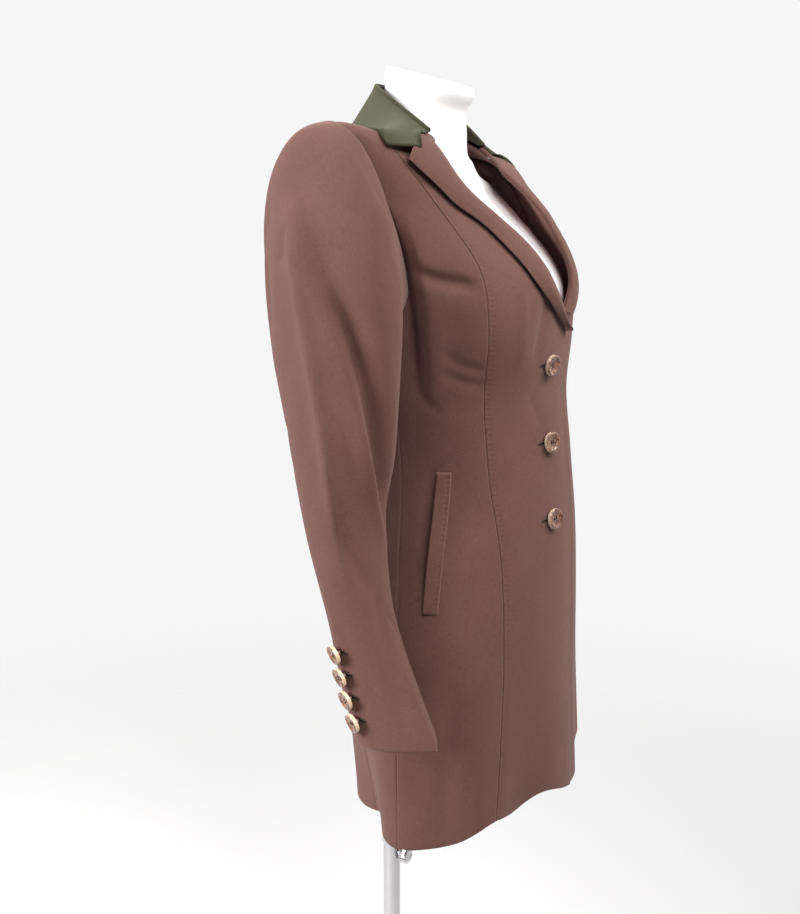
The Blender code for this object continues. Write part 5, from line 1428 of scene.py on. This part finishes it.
bpy.context.scene.view_settings.view_transform = "Standard"
floor = bpy.data.objects.new("floor", turned("floor", ((0.0, 0.0), (FLOOR_RADIUS, 0.0)), FLOOR_SIDES))
floor.location.z = -FLOOR_DROP
bpy.context.scene.collection.objects.link(floor)
pale_floor, tree, shader = new_finish("pale_floor", Base_Color=(0.74, 0.73, 0.73, 1.0), Roughness=0.9)
where = place(tree, "ShaderNodeTexCoord", {})
out_from = place(tree, "ShaderNodeVectorMath", {0: where.outputs["Object"]}, operation="LENGTH")
ends = {"From Min": FLOOR_FADE[0], "From Max": FLOOR_FADE[1], "To Min": 1.0, "To Max": 0.0}
fade = place(
    tree, "ShaderNodeMapRange", {"Value": out_from.outputs["Value"]} | ends, interpolation_type="SMOOTHSTEP"
)
tree.links.new(fade.outputs["Result"], shader.inputs["Alpha"])
floor.data.materials.append(pale_floor)

room = bpy.data.worlds.new("white_room")
bpy.context.scene.world = room
room.use_nodes = True
tree = room.node_tree
where = place(tree, "ShaderNodeTexCoord", {})
bright_way = Vector((*CAMERA_FORWARD[:2], BRIGHT_RISE)).normalized()
ways = {0: where.outputs["Generated"], 1: bright_way}
away = place(tree, "ShaderNodeVectorMath", ways, operation="DOT_PRODUCT").outputs["Value"]
ends = {"From Min": -ROOM_EDGE, "From Max": ROOM_EDGE, "To Min": ROOM_DARK, "To Max": ROOM_BRIGHT}
shine = place(tree, "ShaderNodeMapRange", {"Value": away} | ends).outputs["Result"]
seen = place(tree, "ShaderNodeLightPath", {}).outputs["Is Camera Ray"]
level = place(tree, "ShaderNodeMix", {0: seen, 2: shine, 3: BACKGROUND}, data_type="FLOAT")
tree.links.new(level.outputs[0], tree.nodes["Background"].inputs["Strength"])
tree.nodes["Background"].inputs["Color"].default_value = (1.0, 1.0, 1.0, 1.0)

Softbox = namedtuple("Softbox", "name place size spread power")
for box in (
    Softbox("key_light", (-2.0, 1.0, 1.9), 0.9, 180.0, 74.0),
    Softbox("fill_light", (0.3, -1.6, 2.7), 1.2, 45.0, 4.0),
    Softbox("high_light", (-1.0, -1.2, 2.5), 0.8, 45.0, 2.2),
):
    lamp = bpy.data.lights.new(box.name, "AREA")
    lamp.size = box.size
    lamp.spread = math.radians(box.spread)
    lamp.energy = box.power
    light = bpy.data.objects.new(box.name, lamp)
    light.location = box.place
    light.rotation_euler = (LIGHT_AIM - Vector(box.place)).to_track_quat("-Z", "Y").to_euler()
    bpy.context.scene.collection.objects.link(light)

lens = bpy.data.cameras.new("camera")
lens.lens = CAMERA_LENS
lens.clip_end = 100.0
camera = bpy.data.objects.new("camera", lens)
camera.location = CAMERA_PLACE
camera.rotation_euler = Vector(CAMERA_FORWARD).to_track_quat("-Z", "Y").to_euler()
bpy.context.scene.collection.objects.link(camera)
bpy.context.scene.camera = camera
